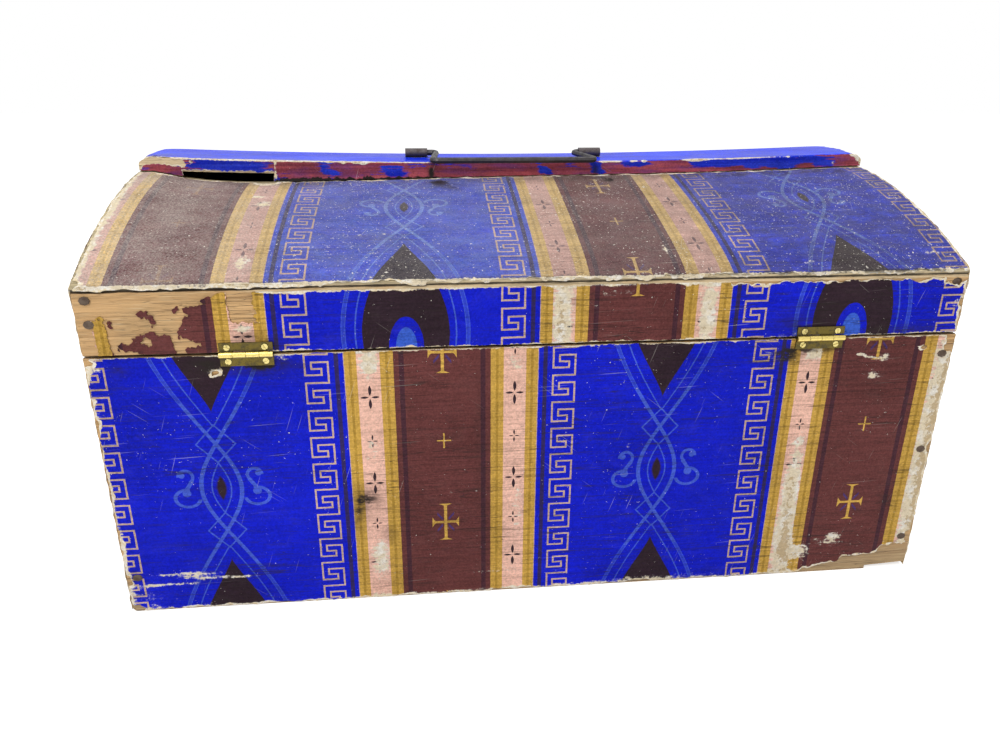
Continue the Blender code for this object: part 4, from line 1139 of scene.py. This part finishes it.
# Outlines of the scraps of print that stay on the bare left end of the rail, and of what is left beside them
RED_SCRAP = in_metres([
    (-225.3, 240.2), (-221.2, 241.2), (-210, 246), (-208, 202), (-240.1, 202), (-239.3, 206.7), (-228.5, 208.7),
    (-229.2, 212), (-241.5, 214.7), (-243.3, 219.2), (-237.2, 227), (-235, 230.7), (-239.3, 233), (-244.4, 230.7),
    (-244.1, 234.2), (-235, 235.7), (-227, 236), (-221.2, 236.7),
])
LOW_SCRAP = in_metres([
    (-282.1, 210.5), (-279.2, 212), (-276, 209.7), (-272, 213.5), (-269, 216.5), (-264, 217.2), (-259.6, 219.5),
    (-254.6, 216.5), (-248, 215.7), (-247, 211.2), (-245.9, 207.5), (-244.7, 202), (-261.8, 202), (-274.9, 205.2),
    (-281.4, 207.5),
])
HOOKED_SCRAP = in_metres([
    (-267.6, 231.5), (-264, 234), (-258.2, 233.4), (-259.6, 231.2), (-256.2, 229.2), (-254.8, 224.7), (-258, 222.8),
    (-258.6, 227), (-261.5, 228.8), (-264.7, 229.2),
])
GOLD_SCRAP = in_metres([
    (-295, 227), (-289.9, 229.2), (-289.4, 234.5), (-288, 229.7), (-285.3, 202), (-294.6, 202),
])
SCRAP_HOLES = in_metres([
    (-263, 212.2, 3.4, 2.8),
])
SMALL_SCRAPS = in_metres([
    (-283.8, 226.2, 2.2, 0.9), (-284, 223.2, 1.6, 0.8),
])

# The first pale column, worn down to the board above its foot
BARE_COLUMN = in_metres([
    (-209.5, 225), (-204, 223.5), (-201, 224.8), (-196.5, 222.8), (-192.2, 224), (-192.4, 247), (-209.3, 247),
])
SCRAPS_END = -0.2105
BARE_END = -0.190
RAGGED_END = -0.18    # the scraps' ragged outline is looked for up to here
FINE_END = -0.185    # the sheet's grid is fine up to here
RAIL_TORN = in_metres([
    (150, 246.5, 22, 3.2), (205, 247, 50, 3), (262, 246.8, 30, 3.6), (295.5, 245.5, 8, 6.2), (307, 214, 3, 12),
    (306.5, 226, 4, 4),
])
RAIL_WORN = in_metres([
    (12.5, 232, 8, 18, 0.66), (12.5, 210, 8, 12, 0.56), (115.8, 230, 8, 18, 0.60), (115.8, 210, 8, 10, 0.42),
    (50, 239, 26, 4, 0.45), (-200, 220, 7, 4, 0.5), (300, 226, 8, 18, 0.5), (40, 226, 10, 10, 0.32),
    (195, 238, 40, 4, 0.3), (180, 206.5, 26, 4, 0.40),
])
RAIL_SOILED = in_metres([
    (187, 212, 20, 8, 0.62), (262, 206, 30, 4, 0.45), (-199, 215, 10, 4, 0.55), (-183, 208, 12, 6, 0.62),
    (206, 224, 12, 4, 0.35),
])


def lid_back_keep(u, v):
    """Paper left on the lid's back rail: all but scraps is gone from its left sixth."""
    kept = edge_keep(u, v, BODY_WIDTH, RAIL_HEIGHT, (2.0 * MM, 1.2 * MM, 0.4 * MM, 0.3 * MM), 6.4)
    if u < RAGGED_END:
        ragged = 1.7 * MM * waver(u, v, 3.4 * MM, 2.6) + 1.2 * MM * waver(u, v, 1.6 * MM, 5.9)
        scraps = max(outline_distance(u, v, line) for line in (RED_SCRAP, LOW_SCRAP, HOOKED_SCRAP, GOLD_SCRAP))
        scraps = min(scraps, *(blob_distance(u, v, blob) for blob in SCRAP_HOLES))
        scraps = max(scraps, *(-blob_distance(u, v, blob) for blob in SMALL_SCRAPS)) + ragged
        kept = min(kept, max(scraps, u - SCRAPS_END), ragged - outline_distance(u, v, BARE_COLUMN))
    return torn_off(kept, u, v, RAIL_TORN, 5.5)


def lid_back_worn(u, v):
    rims = 0.55 * rise(RAIL_TOP - v, 3.5 * MM) + 0.4 * rise(v - RAIL_BOTTOM, 1.8 * MM)
    if u < SCRAPS_END:
        rims = 0.0
    return min(1.0, 0.12 + rims + spot_sum(u, v, RAIL_WORN))


def lid_back_rim(u, v):
    """The scraps on the bare wood have no pale rim, and the edge along the seam a thin one."""
    return 0.0 if u < BARE_END else 1 - 0.7 * rise(v - RAIL_BOTTOM, 5 * MM)


def build_lid_back():
    us = steps(-HALF_LENGTH, FINE_END, 0.65 * MM)
    us += graded((FINE_END, HALF_LENGTH), 2 * MM, 0.8 * MM, 2 * MM, 20 * MM)[1:]
    sheet = Sheet("lid_back_sheet", us, steps(*RAIL_HEIGHT, 0.75 * MM), on_back, lid_back_keep, rail_print)
    sheet.marks["worn"] = lid_back_worn
    sheet.marks["dirt_and_shade"] = lambda u, v: spot_sum(u, v, RAIL_SOILED)
    sheet.marks["rim"] = lid_back_rim
    sheet.build(PRINTED, "lid", "lid_back_paper")


# The dome

def solid_tree(node):
    """A solid of the frame, ready for finding where a ray meets it."""
    solid = NODES[node].data
    return BVHTree.FromPolygons([v.co.copy() for v in solid.vertices], [p.vertices[:] for p in solid.polygons])


class DomeSkin:
    """The dome's papered surface, followed from its lower edge: u along the length, v up over the curve."""

    columns = 60
    rows = 36

    def __init__(self, node, facing):
        self.tree = solid_tree(node)
        self.facing = facing
        low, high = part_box(node)
        self.start = max(abs(low[1]), abs(high[1]))
        self.end = min(abs(low[1]), abs(high[1]))
        self.lines = [self.line(-HALF_LENGTH + 2 * HALF_LENGTH * i / self.columns) for i in range(self.columns + 1)]

    def top(self, u, y):
        """Height of the surface, evened out along the length."""
        edge = HALF_LENGTH - 0.5 * MM
        y = min(self.start - 0.2 * MM, max(self.end + 0.2 * MM, y))
        total = 0.0
        for shift in (-8 * MM, 0.0, 8 * MM):
            x = min(edge, max(-edge, u + shift))
            total += self.tree.ray_cast(Vector((x, self.facing * y, 1)), Vector((0, 0, -1)))[0].z
        return total / 3

    def line(self, u):
        """Points up the curve at one place along the length, with their distance from its lower edge."""
        ys = [self.start + (self.end - self.start) * i / self.rows for i in range(self.rows + 1)]
        raw = [self.top(u, y) for y in ys]
        even = [(a + 2 * b + c) / 4 for a, b, c in zip(raw, raw[1:], raw[2:])]
        points = []
        length = 0.0
        for y, z in zip(ys, raw[:1] + even + raw[-1:]):
            if points:
                length += math.hypot(y - points[-1][0], z - points[-1][1])
            points.append((y, z, length))
        return points

    def length(self):
        return min(line[-1][2] for line in self.lines)

    def along(self, line, v):
        """Reach, height and slope at a distance up one line."""
        for (y0, z0, s0), (y1, z1, s1) in zip(line, line[1:]):
            if v <= s1 or s1 == line[-1][2]:
                share = (v - s0) / (s1 - s0)
                return y0 + (y1 - y0) * share, z0 + (z1 - z0) * share, math.atan2(z1 - z0, y0 - y1)

    def column(self, u):
        station = (u + HALF_LENGTH) / (2 * HALF_LENGTH) * self.columns
        first = min(self.columns - 1, max(0, int(station)))
        return first, station - first

    def place(self, u, v, lift):
        first, share = self.column(u)
        if v < 0:
            low = self.lines[first][0][1] * (1 - share) + self.lines[first + 1][0][1] * share
            return (-self.facing * u, self.facing * (self.start - 0.1 * MM + lift), low + v)
        y0, z0, tilt = self.along(self.lines[first], v)
        y1, z1, _ = self.along(self.lines[first + 1], v)
        y = y0 + (y1 - y0) * share + lift * math.sin(tilt)
        z = z0 + (z1 - z0) * share + lift * math.cos(tilt) + 0.1 * MM
        return (-self.facing * u, self.facing * y, z)

    def upper_edge(self, u):
        """Height of the surface where it meets the ridge board."""
        first, share = self.column(u)
        return self.lines[first][-1][1] * (1 - share) + self.lines[first + 1][-1][1] * share


REAR_SKIN = DomeSkin("dome_rear_paper", -1)
FRONT_SKIN = DomeSkin("dome_front_paper", 1)

# How far the dome's paper hangs over its lower edge at most
DOME_FOLD = 3.6 * MM

# Where the ridge's side paper is gone and the dome's upper edge gapes below the board
OPEN_JOINT = (-0.271, -0.199)

# The crack that runs on from the open joint, painted as a dark shade along the lower edge of the ridge's paper
CRACK_WIDTH = 1.7 * MM
CRACK_END = -0.045
CRACK_TAPER = 0.09

# The dome's curve is about this long. Its left and right ends have aged in their own way from here on
DOME_CURVE = 0.17
LEFT_START = -0.17
LEFT_REACH = 0.13
RIGHT_START = 0.08
RIGHT_REACH = 0.08

# How high the painted shade below the ridge board lies on the dome, and how far it spreads
SHADOW_RISE = 0.164
SHADOW_SPREAD = 0.012


def dome_print(u, v):
    return (LID_RED_X - u, (DOME_EYE_RISE - v) / DOME_STRETCH)


DOME_TORN = in_metres([
    (-205, 169.5, 8, 5), (-308.5, 85, 3.5, 100), (308.5, 150, 3, 12), (272, -2, 12, 2.6), (-303, 2, 5, 3),
])
DOME_WORN = in_metres([
    (-201, 22, 8, 10, 0.42), (-198, 110, 9, 6, 0.5), (-207, 128, 6, 3, 0.5), (-236, 130, 14, 10, 0.34),
    (-225, 105, 12, 4, 0.42), (-252, 82, 8, 5, 0.36), (90, 30, 3, 12, 0.56), (-275, 150, 8, 6, 0.4),
    (-302, 90, 5, 80, 0.38), (46, 8, 12, 6, 0.42), (190, 10, 10, 6, 0.42), (285, 20, 14, 18, 0.42),
    (-110, 4, 60, 3, 0.42), (-206, 167, 12, 6, 0.9),
])
# Dark marks below the handle's ends
DOME_DARK_SPOTS = in_metres([
    (-66, 156, 10, 14, 0.42), (-52, 148, 10, 10, 0.4), (78, 158, 8, 10, 0.5),
])


def left_end(u):
    """How far a place lies into the dome's left end."""
    return max(0.0, (LEFT_START - u) / LEFT_REACH)


def right_end(u):
    """How far a place lies into the dome's right half, which is less faded and darker."""
    return min(1.0, max(0.0, (u - RIGHT_START) / RIGHT_REACH))


def dome_dust(u, v):
    """Dust lies thicker towards the ridge and over the left end."""
    share = v / DOME_CURVE
    return 0.10 + 0.05 * share + 0.42 * min(0.6, left_end(u)) + 0.3 * max(0.0, share - 0.88) - 0.045 * right_end(u)


def dome_worn(u, v):
    """Wear at the edges, and right of the open joint a pale line where the dome's paper meets the ridge."""
    rims = 0.62 * rise(v, 2.0 * MM) + 0.42 * rise(HALF_LENGTH - abs(u), 6 * MM)
    if u > OPEN_JOINT[1]:
        rims += 0.6 * rise(REAR_SKIN.length() - v, 1.8 * MM)
    return min(1.0, 0.20 + rims + spot_sum(u, v, DOME_WORN))


def crack_share(u):
    """The open joint runs on to the right as a crack below the ridge, which closes towards the handle. Its dark strip
    is painted shade.
    """
    return max(0.0, min(1.0, (CRACK_END - u) / CRACK_TAPER)) if u > OPEN_JOINT[1] else 0.0


def dome_darkening_and_shade(u, v):
    """Darkening on the dome: duller all over and more over its right half, darker in the lower fold, and a painted
    shade just below the ridge.
    """
    dull = 0.16 * max(0.0, 1 - 2 * left_end(u)) + 0.34 * right_end(u)
    # The band just below the ridge board is painted shade
    shadow = 0.36 - 0.24 * right_end(u)
    fold = (0.5 - 0.2 * right_end(u)) * rise(abs(v), 3.0 * MM)
    return dull + fold + shadow * rise(abs(v - SHADOW_RISE), SHADOW_SPREAD) + spot_sum(u, v, DOME_DARK_SPOTS)


def build_dome_rear():
    height = (-DOME_FOLD, REAR_SKIN.length())

    def keep(u, v):
        low = (3.0 - 1.7 * rise(u + 0.19, 0.08)) * MM
        kept = edge_keep(u, v, BODY_WIDTH, height, (2.0 * MM, 1.2 * MM, low, 0.4 * MM), 9.3)
        return torn_off(kept, u, v, DOME_TORN, 1.1)

    us = graded(BODY_WIDTH, 2.3 * MM, 0.8 * MM, 12 * MM, 8 * MM)
    vs = graded(height, 2.3 * MM, 0.7 * MM, DOME_FOLD + 5 * MM, 6 * MM)
    sheet = Sheet("dome_rear_sheet", us, vs, REAR_SKIN.place, keep, dome_print)
    sheet.marks["faded"] = lambda u, v: 1 - 0.4 * right_end(u)
    sheet.marks["figures"] = lambda u, v: 0.7 - 0.5 * min(1.0, 1.5 * left_end(u))
    sheet.marks["worn"] = dome_worn
    sheet.marks["dirt_and_shade"] = dome_darkening_and_shade
    sheet.marks["dust"] = dome_dust
    sheet.build(FADED, "lid", "dome_rear_paper")


def build_dome_front():
    height = (0.0, FRONT_SKIN.length())

    def keep(u, v):
        return edge_keep(u, v, BODY_WIDTH, height, (1.6 * MM, 1.6 * MM, 0.8 * MM, 0.4 * MM), 3.9)

    us = graded(BODY_WIDTH, 4 * MM, 1.2 * MM, 10 * MM, 10 * MM)
    vs = graded(height, 4 * MM, 1.2 * MM, 6 * MM, 4 * MM)
    sheet = Sheet("dome_front_sheet", us, vs, FRONT_SKIN.place, keep, dome_print)
    sheet.marks["worn"] = lambda u, v: 0.2 + 0.6 * rise(v, 4 * MM) + 0.4 * rise(HALF_LENGTH - abs(u), 6 * MM)
    sheet.marks["dust"] = lambda u, v: 0.05 + 0.1 * v / DOME_CURVE
    sheet.build(FADED, "lid", "dome_front_paper")


# The front and the ends, which the photograph hides: the same paper, worn at its edges

PLAIN_EDGES = (1.4 * MM, 1.4 * MM, 1.2 * MM, 0.6 * MM)
SHANK_CLEARANCE = 2.2 * MM


def build_plain_sheet(name, width, height, place, print_at, body, seed, hole=None, roof=None):
    def keep(u, v):
        kept = edge_keep(u, v, width, height, PLAIN_EDGES, seed)
        if roof:
            kept = min(kept, roof(u) - v - 0.8 * MM - 0.6 * MM * waver(u, v, 9 * MM, seed))
        if hole:
            kept = min(kept, math.hypot(u, v - hole) - SHANK_CLEARANCE)
        return kept

    def worn(u, v):
        inside = min(u - width[0], width[1] - u, v - height[0], height[1] - v)
        if roof:
            inside = min(inside, roof(u) - v)
        return 0.14 + 0.5 * rise(inside, 6 * MM)

    us = graded(width, 4 * MM, 1.2 * MM, 8 * MM, 8 * MM)
    vs = graded(height, 3 * MM if roof else 4 * MM, 1.2 * MM, 6 * MM, 6 * MM)
    sheet = Sheet(name + "_sheet", us, vs, place, keep, print_at)
    sheet.marks["worn"] = worn
    if hole:
        sheet.curl = 0.0    # The hook turns close over this sheet
    sheet.build(PRINTED, body, name + "_paper")


def middle_height(node):
    low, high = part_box(node)
    return (low[2] + high[2]) / 2


def arch_height(u):
    """Height of an end's curved edge over a place across the depth."""
    arch = REAR_SKIN.lines[0]
    for (y0, z0, _), (y1, z1, _) in zip(arch, arch[1:]):
        if abs(u) >= y1:
            return z0 + (z1 - z0) * (abs(u) - y0) / (y1 - y0)
    return LID_END_HIGH[2]


def end_print(u, v):
    return (u - PRINT_WIDTH / 2, v - BODY_EYE_Z)


def lid_end_print(u, v):
    return (PRINT_WIDTH / 2 - u, RAIL_EYE_Z - v)


def build_hidden_sides():
    pivot = middle_height("closure_pivot_nail")
    build_plain_sheet("body_front", BODY_WIDTH, BODY_HEIGHT, on_front, body_print, "box", 12.5, hole=pivot)
    catch = middle_height("closure_catch_nail")
    build_plain_sheet("lid_front", BODY_WIDTH, RAIL_HEIGHT, on_front, rail_print, "lid", 14.5, hole=catch)
    depth = (END_LOW[1], END_HIGH[1])
    lid_height = (LID_END_LOW[2], LID_END_HIGH[2])
    for side, sign in (("left", -1), ("right", 1)):
        def on_end(u, v, lift, sign=sign):
            return (sign * (END_FACE + lift), sign * u, v)

        build_plain_sheet("body_" + side, depth, BODY_HEIGHT, on_end, end_print, "box", 20.5 + sign)
        build_plain_sheet(
            "lid_" + side, depth, lid_height, on_end, lid_end_print, "lid", 24.5 + sign, roof=arch_height)


# The ridge board and its paper

RIDGE_ROUND = 1.6 * MM
RIDGE_SIDE = 12 * MM
RIDGE_DEPTH = RIDGE_HIGH[2] - min(
    v.co.z for v in NODES["ridge_board"].data.vertices if v.co.x > HALF_LENGTH - 2 * MM)

# The board's worn ends: how far in they are rounded, how far they drop, and the far corners' share of that
END_ROUND = 14 * MM
END_DROP = 5 * MM
FAR_DROP = 0.2
END_CUTS = (1 * MM, 2.5 * MM, 4.5 * MM, 7 * MM, 10 * MM, 14 * MM)
MERGE_REACH = 0.001 * MM    # points of the board's loose triangles that lie closer are joined

# Blue on the near side that has not rubbed through to the red
RIDGE_BLUE = in_metres([
    (-235, 6, 42, 20, 1.0), (-153, 8, 10, 6, 0.7), (-102, 7, 13, 6, 0.8), (-78, 10, 10, 4, 0.5),
    (-30, 12, 30, 3, 0.5), (24, 5, 6, 6, 0.9), (49, 11, 8, 3, 0.6), (70, 7, 6, 8, 1.0), (104, 10, 18, 3.5, 0.9),
    (172, 10, 22, 5, 1.0), (225, 10, 50, 5, 1.0), (205, 4, 6, 4, 0.5), (232, 5, 9, 6, 0.8), (270, 7, 14, 8, 0.9),
])
RIDGE_TORN = in_metres([
    (-291, 10.8, 21, 3.6), (-303, 18.5, 13, 4.5), (-308, 35, 6, 30), (307, 13.5, 6, 6),
])
RIDGE_WEAR_AND_SHEEN = in_metres([
    # along the upper edge, partly a painted highlight, and the chips on it
    (-225, 13.5, 40, 2, 0.50), (-180, 13.5, 24, 1.3, 0.45), (-110, 13.5, 60, 0.9, 0.36),
    (-154.5, 13.5, 2.2, 2, 0.9), (-143, 13.5, 2.6, 2.4, 0.95), (-134, 13.5, 2, 2, 0.9), (-127, 13, 4, 3, 1.0),
    (75.5, 13.5, 3.5, 1.8, 0.8), (85, 13.5, 5, 1.4, 0.7), (101, 13.5, 3, 1.6, 0.8), (110, 13.5, 2, 2.4, 0.9),
    (156, 13.8, 9.5, 3.2, 1.0), (200, 13.5, 28, 1.2, 0.45),
    # torn ends, creases and the strip along the dome
    (-284, 13, 18, 4, 0.7), (-262, 5, 12, 2.2, 0.5), (-207, 3.5, 7, 1.4, 0.6), (-198, 6, 1.6, 10, 0.8),
    (238, 8, 1.6, 8, 0.55), (251, 6, 1.6, 6, 0.5), (279, 4.5, 3, 5, 0.7), (300, 13.5, 6, 7, 0.8),
    (120, 0.6, 200, 1, 0.42), (-303, 45, 5, 50, 0.5), (303, 45, 5, 50, 0.5),
    # light rubbing on the top, most of it round the handle
    (-190, 36, 60, 10, 0.36), (10, 46, 110, 8, 0.36), (200, 40, 70, 12, 0.36), (-70, 34, 12, 8, 0.42),
    (66, 34, 12, 8, 0.42),
])
# A painted shadow under the torn paper at the left end, and dark marks below the handle's ends
RIDGE_SHADOW_AND_MARKS = in_metres([
    (-71, 5, 3, 9, 1.0), (68, 4, 3, 6, 0.8), (-288, 10.5, 16, 0.9, 1.0),
])


def end_drop(u, y):
    """How far the ridge board's worn ends are rounded down, most of all at their near corners."""
    share = rise(HALF_LENGTH - abs(u), END_ROUND)
    near = min(1.0, max(0.0, -y / RIDGE_HALF))
    return END_DROP * (1 - math.sqrt(1 - min(1.0, share) ** 2)) * (FAR_DROP + (1 - FAR_DROP) * near)


class RidgeSkin:
    """Paper round the ridge board: up its near side, over the top and down the far side."""

    def __init__(self):
        self.tree = solid_tree("ridge_paper")
        self.turn = RIDGE_ROUND * math.pi / 2
        self.flat = 2 * (RIDGE_HALF - RIDGE_ROUND)
        self.length = 2 * RIDGE_SIDE + 2 * self.turn + self.flat
        self.tops = {}

    def top(self, u):
        if u not in self.tops:
            edge = HALF_LENGTH - 1 * MM
            total = 0.0
            for shift in (-10 * MM, -5 * MM, 0.0, 5 * MM, 10 * MM):
                x = min(edge, max(-edge, u + shift))
                total += self.tree.ray_cast(Vector((x, -0.02, 1)), Vector((0, 0, -1)))[0].z
            self.tops[u] = total / 5 + 0.05 * MM
        return self.tops[u]

    def board_share(self, u):
        """Where the board's lower edge falls on the near side's paper, which reaches down to the dome."""
        upper = self.top(u) - RIDGE_ROUND
        board = self.top(u) - RIDGE_DEPTH
        low = min(board, REAR_SKIN.upper_edge(u) + 0.5 * MM)
        return (board - low) / (upper - low)

    def place(self, u, v, lift):
        far = v > self.length / 2
        v = self.length - v if far else v
        inward = -RIDGE_HALF + RIDGE_ROUND + max(0.0, v - RIDGE_SIDE - self.turn)
        top = self.top(u) - end_drop(u, -inward if far else inward)
        if v < RIDGE_SIDE:
            low = self.top(u) - RIDGE_DEPTH
            if not far:
                low = min(low, REAR_SKIN.upper_edge(u) + 0.5 * MM)
            y, z, out = -RIDGE_HALF, low + (top - RIDGE_ROUND - low) * v / RIDGE_SIDE, (-1.0, 0.0)
        elif v < RIDGE_SIDE + self.turn:
            angle = (v - RIDGE_SIDE) / RIDGE_ROUND
            out = (-math.cos(angle), math.sin(angle))
            y = -RIDGE_HALF + RIDGE_ROUND + RIDGE_ROUND * out[0]
            z = top - RIDGE_ROUND + RIDGE_ROUND * out[1]
        else:
            y, z, out = inward, top, (0.0, 1.0)
        y += out[0] * lift
        z += out[1] * lift
        return (u, -y if far else y, z)


def build_ridge_sheet():
    skin = RidgeSkin()
    height = (0.0, skin.length)
    middle = skin.length / 2
    loops = []
    for node in ("handle_loop_left", "handle_loop_right"):
        low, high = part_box(node)
        loops.append(((low[0] + high[0]) / 2, (high[0] - low[0]) / 2 + 0.4 * MM))

    def keep(u, v):
        kept = edge_keep(u, v, BODY_WIDTH, height, (2.0 * MM, 1.6 * MM, 0.3 * MM, 0.3 * MM), 15.1)
        kept = torn_off(kept, u, v, RIDGE_TORN, 2.2)
        opened = min(u - OPEN_JOINT[0], OPEN_JOINT[1] - u) + 1.5 * MM * waver(u, v, 5 * MM, 4.4)
        below = skin.board_share(u) * RIDGE_SIDE - v + 0.6 * MM + 1.0 * MM * waver(u, v, 6 * MM, 3.7)
        kept = min(kept, max(-opened, -below))
        for loop_x, half in loops:
            kept = min(kept, max(abs(u - loop_x) - half, abs(v - middle) - 2.4 * MM))
        return kept

    # Pale along the rounded edges: wear, and along the upper edge partly a painted highlight
    def worn(u, v):
        edge = RIDGE_SIDE + skin.turn / 2
        near = min(abs(v - edge), abs(skin.length - v - edge))
        return min(1.0, 0.08 + 0.5 * rise(near, 2.0 * MM) + spot_sum(u, v, RIDGE_WEAR_AND_SHEEN))

    def dirt_and_shade(u, v):
        # Painted shade: the crack below the ridge is drawn as a dark strip along the paper's lower edge
        shaded_gap = CRACK_WIDTH * (0.3 + crack_share(u)) * (1 + 0.9 * waver(u, 0.0, 5 * MM, 7.7))
        return spot_sum(u, v, RIDGE_SHADOW_AND_MARKS) + 2.0 * min(1.0, max(0.0, (shaded_gap - v) / (0.6 * MM)))

    def under(u, v):
        """How much of the red paper shows: on the sides and just over their upper edges."""
        if v > middle:
            return 0.5 * rise(skin.length - v - RIDGE_SIDE, 2 * MM)
        if v > RIDGE_SIDE + 1.0 * MM:
            return 0.62 * rise(v - RIDGE_SIDE - 1.0 * MM, 2.0 * MM)
        lean = u + 0.7 * (v - RIDGE_SIDE / 2) + 3 * MM * waver(u, v, 8 * MM, 6.6)
        return 0.95 - 0.85 * spot_sum(lean, v, RIDGE_BLUE)

    # Places up the near side, round the turn and over the top to its middle, finest where the paper cracks
    crack_height = 3 * MM
    rubbed_end = RIDGE_SIDE + 10 * MM
    half = steps(0.0, crack_height, 0.5 * MM) + steps(crack_height, RIDGE_SIDE, 1.0 * MM)[1:]
    half += [RIDGE_SIDE + skin.turn * i / 4 for i in range(1, 4)]
    half += steps(RIDGE_SIDE + skin.turn, rubbed_end, 1.5 * MM) + steps(rubbed_end, middle, 4 * MM)[1:]
    vs = half + [skin.length - v for v in reversed(half[:-1])]
    sheet = Sheet("ridge_sheet", steps(*BODY_WIDTH, 1.3 * MM), vs, skin.place, keep, lambda u, v: (u, v))
    sheet.marks["worn"] = worn
    sheet.marks["dirt_and_shade"] = dirt_and_shade
    sheet.marks["rim"] = lambda u, v: 0.45 * min(1.0, v / (3 * MM))
    sheet.marks["under"] = under
    # How far a place lies on the top, which the material paints a lighter blue as a sheen
    sheet.marks["top"] = lambda u, v: min(1.0, max(0.0, (min(v, skin.length - v) - RIDGE_SIDE) / skin.turn))
    sheet.build(RIDGE_PAPER, "lid", "ridge_paper")


def cut_through(shape, place, facing):
    """Cut every face that a plane crosses."""
    geometry = shape.verts[:] + shape.edges[:] + shape.faces[:]
    bmesh.ops.bisect_plane(shape, geom=geometry, plane_co=place, plane_no=facing)


def build_ridge_board():
    """The ridge board with its ends worn round."""
    mesh = NODES["ridge_board"].data.copy()
    mesh.name = "worn_ridge_board"
    shape = bmesh.new()
    shape.from_mesh(mesh)
    bmesh.ops.remove_doubles(shape, verts=shape.verts[:], dist=MERGE_REACH)
    for sign in (-1, 1):
        for inset in END_CUTS:
            cut_through(shape, (sign * (HALF_LENGTH - inset), 0, 0), (1, 0, 0))
    cut_through(shape, (0, 0, 0), (0, 1, 0))
    floor = RIDGE_HIGH[2] - RIDGE_DEPTH + 1 * MM
    for vert in shape.verts:
        if vert.co.z > floor:
            vert.co.z -= end_drop(max(-HALF_LENGTH, min(HALF_LENGTH, vert.co.x)), vert.co.y)
    shape.to_mesh(mesh)
    shape.free()
    mesh.materials.clear()
    mesh.materials.append(RIDGE_PINE)
    board = bpy.data.objects.new("worn_ridge_board", mesh)
    bpy.context.scene.collection.objects.link(board)
    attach(board, "lid")
    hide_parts("ridge_board")


# Camera, light and floor

WORLD_LIGHT = 0.48
FLOOR_GLOW = 0.6
FLOOR_HALF = 6.0
FLOOR_TONE = (0.9, 0.9, 0.9, 1)
WHITE = (1, 1, 1, 1)


def build_camera():
    data = bpy.data.cameras.new("photo_camera")
    data.sensor_width = 36
    data.lens = data.sensor_width * FOCAL_PIXELS / IMAGE_WIDTH
    data.clip_start = 0.01
    camera = bpy.data.objects.new("photo_camera", data)
    turn = Matrix.Rotation(-CAMERA_YAW, 4, "Z") @ Matrix.Rotation(math.radians(90) - CAMERA_PITCH, 4, "X")
    camera.matrix_world = Matrix.Translation(CAMERA_PLACE) @ turn @ Matrix.Rotation(CAMERA_ROLL, 4, "Z")
    bpy.context.scene.collection.objects.link(camera)
    bpy.context.scene.camera = camera


def seen_directly(tree):
    """One for the camera and for what mirrors or lets through, so that all of them see the same white studio."""
    path = tree.nodes.new("ShaderNodeLightPath")
    return most(*(Ink(tree, path.outputs[ray]) for ray in ("Is Camera Ray", "Is Glossy Ray", "Is Transmission Ray")))


def build_world():
    """Soft white light all round, seen by the camera and in reflections as white."""
    world = bpy.data.worlds.new("studio")
    bpy.context.scene.world = world
    world.use_nodes = True
    tree = world.node_tree
    background = tree.nodes["Background"]
    background.inputs["Color"].default_value = WHITE
    feed(tree, background.inputs["Strength"], seen_directly(tree) * (1 - WORLD_LIGHT) + WORLD_LIGHT)


def area_light(name, place, target, size, power):
    data = bpy.data.lights.new(name, "AREA")
    data.shape = "SQUARE"
    data.size = size
    data.energy = power
    light = bpy.data.objects.new(name, data)
    facing = (Vector(target) - Vector(place)).to_track_quat("-Z", "Y")
    light.matrix_world = Matrix.Translation(place) @ facing.to_matrix().to_4x4()
    bpy.context.scene.collection.objects.link(light)


def build_floor():
    """A white floor that glows to the camera and still takes the box's shadow."""
    mesh = bpy.data.meshes.new("floor")
    corners = [(-FLOOR_HALF, -FLOOR_HALF, 0), (FLOOR_HALF, -FLOOR_HALF, 0), (FLOOR_HALF, FLOOR_HALF, 0),
               (-FLOOR_HALF, FLOOR_HALF, 0)]
    mesh.from_pydata(corners, [], [(0, 1, 2, 3)])
    floor = bpy.data.objects.new("floor", mesh)
    bpy.context.scene.collection.objects.link(floor)
    material, tree, shader = new_material("pale_floor", FLOOR_TONE)
    shader.inputs["Base Color"].default_value = FLOOR_TONE
    shader.inputs["Roughness"].default_value = 1.0
    shader.inputs["Specular IOR Level"].default_value = 0.0
    shader.inputs["Emission Color"].default_value = WHITE
    feed(tree, shader.inputs["Emission Strength"], seen_directly(tree) * FLOOR_GLOW)
    mesh.materials.append(material)


dress_frame()
build_body_back()
build_lid_back()
build_dome_rear()
build_dome_front()
build_hidden_sides()
build_ridge_sheet()
build_ridge_board()
build_camera()
build_world()
area_light("window", (-0.9, -1.6, 1.9), (0, 0, 0.15), 1.6, 35)
area_light("sky_panel", (0.2, 0.2, 2.2), (0, 0, 0.2), 2.0, 19)
build_floor()
bpy.context.scene.view_settings.view_transform = "Standard"
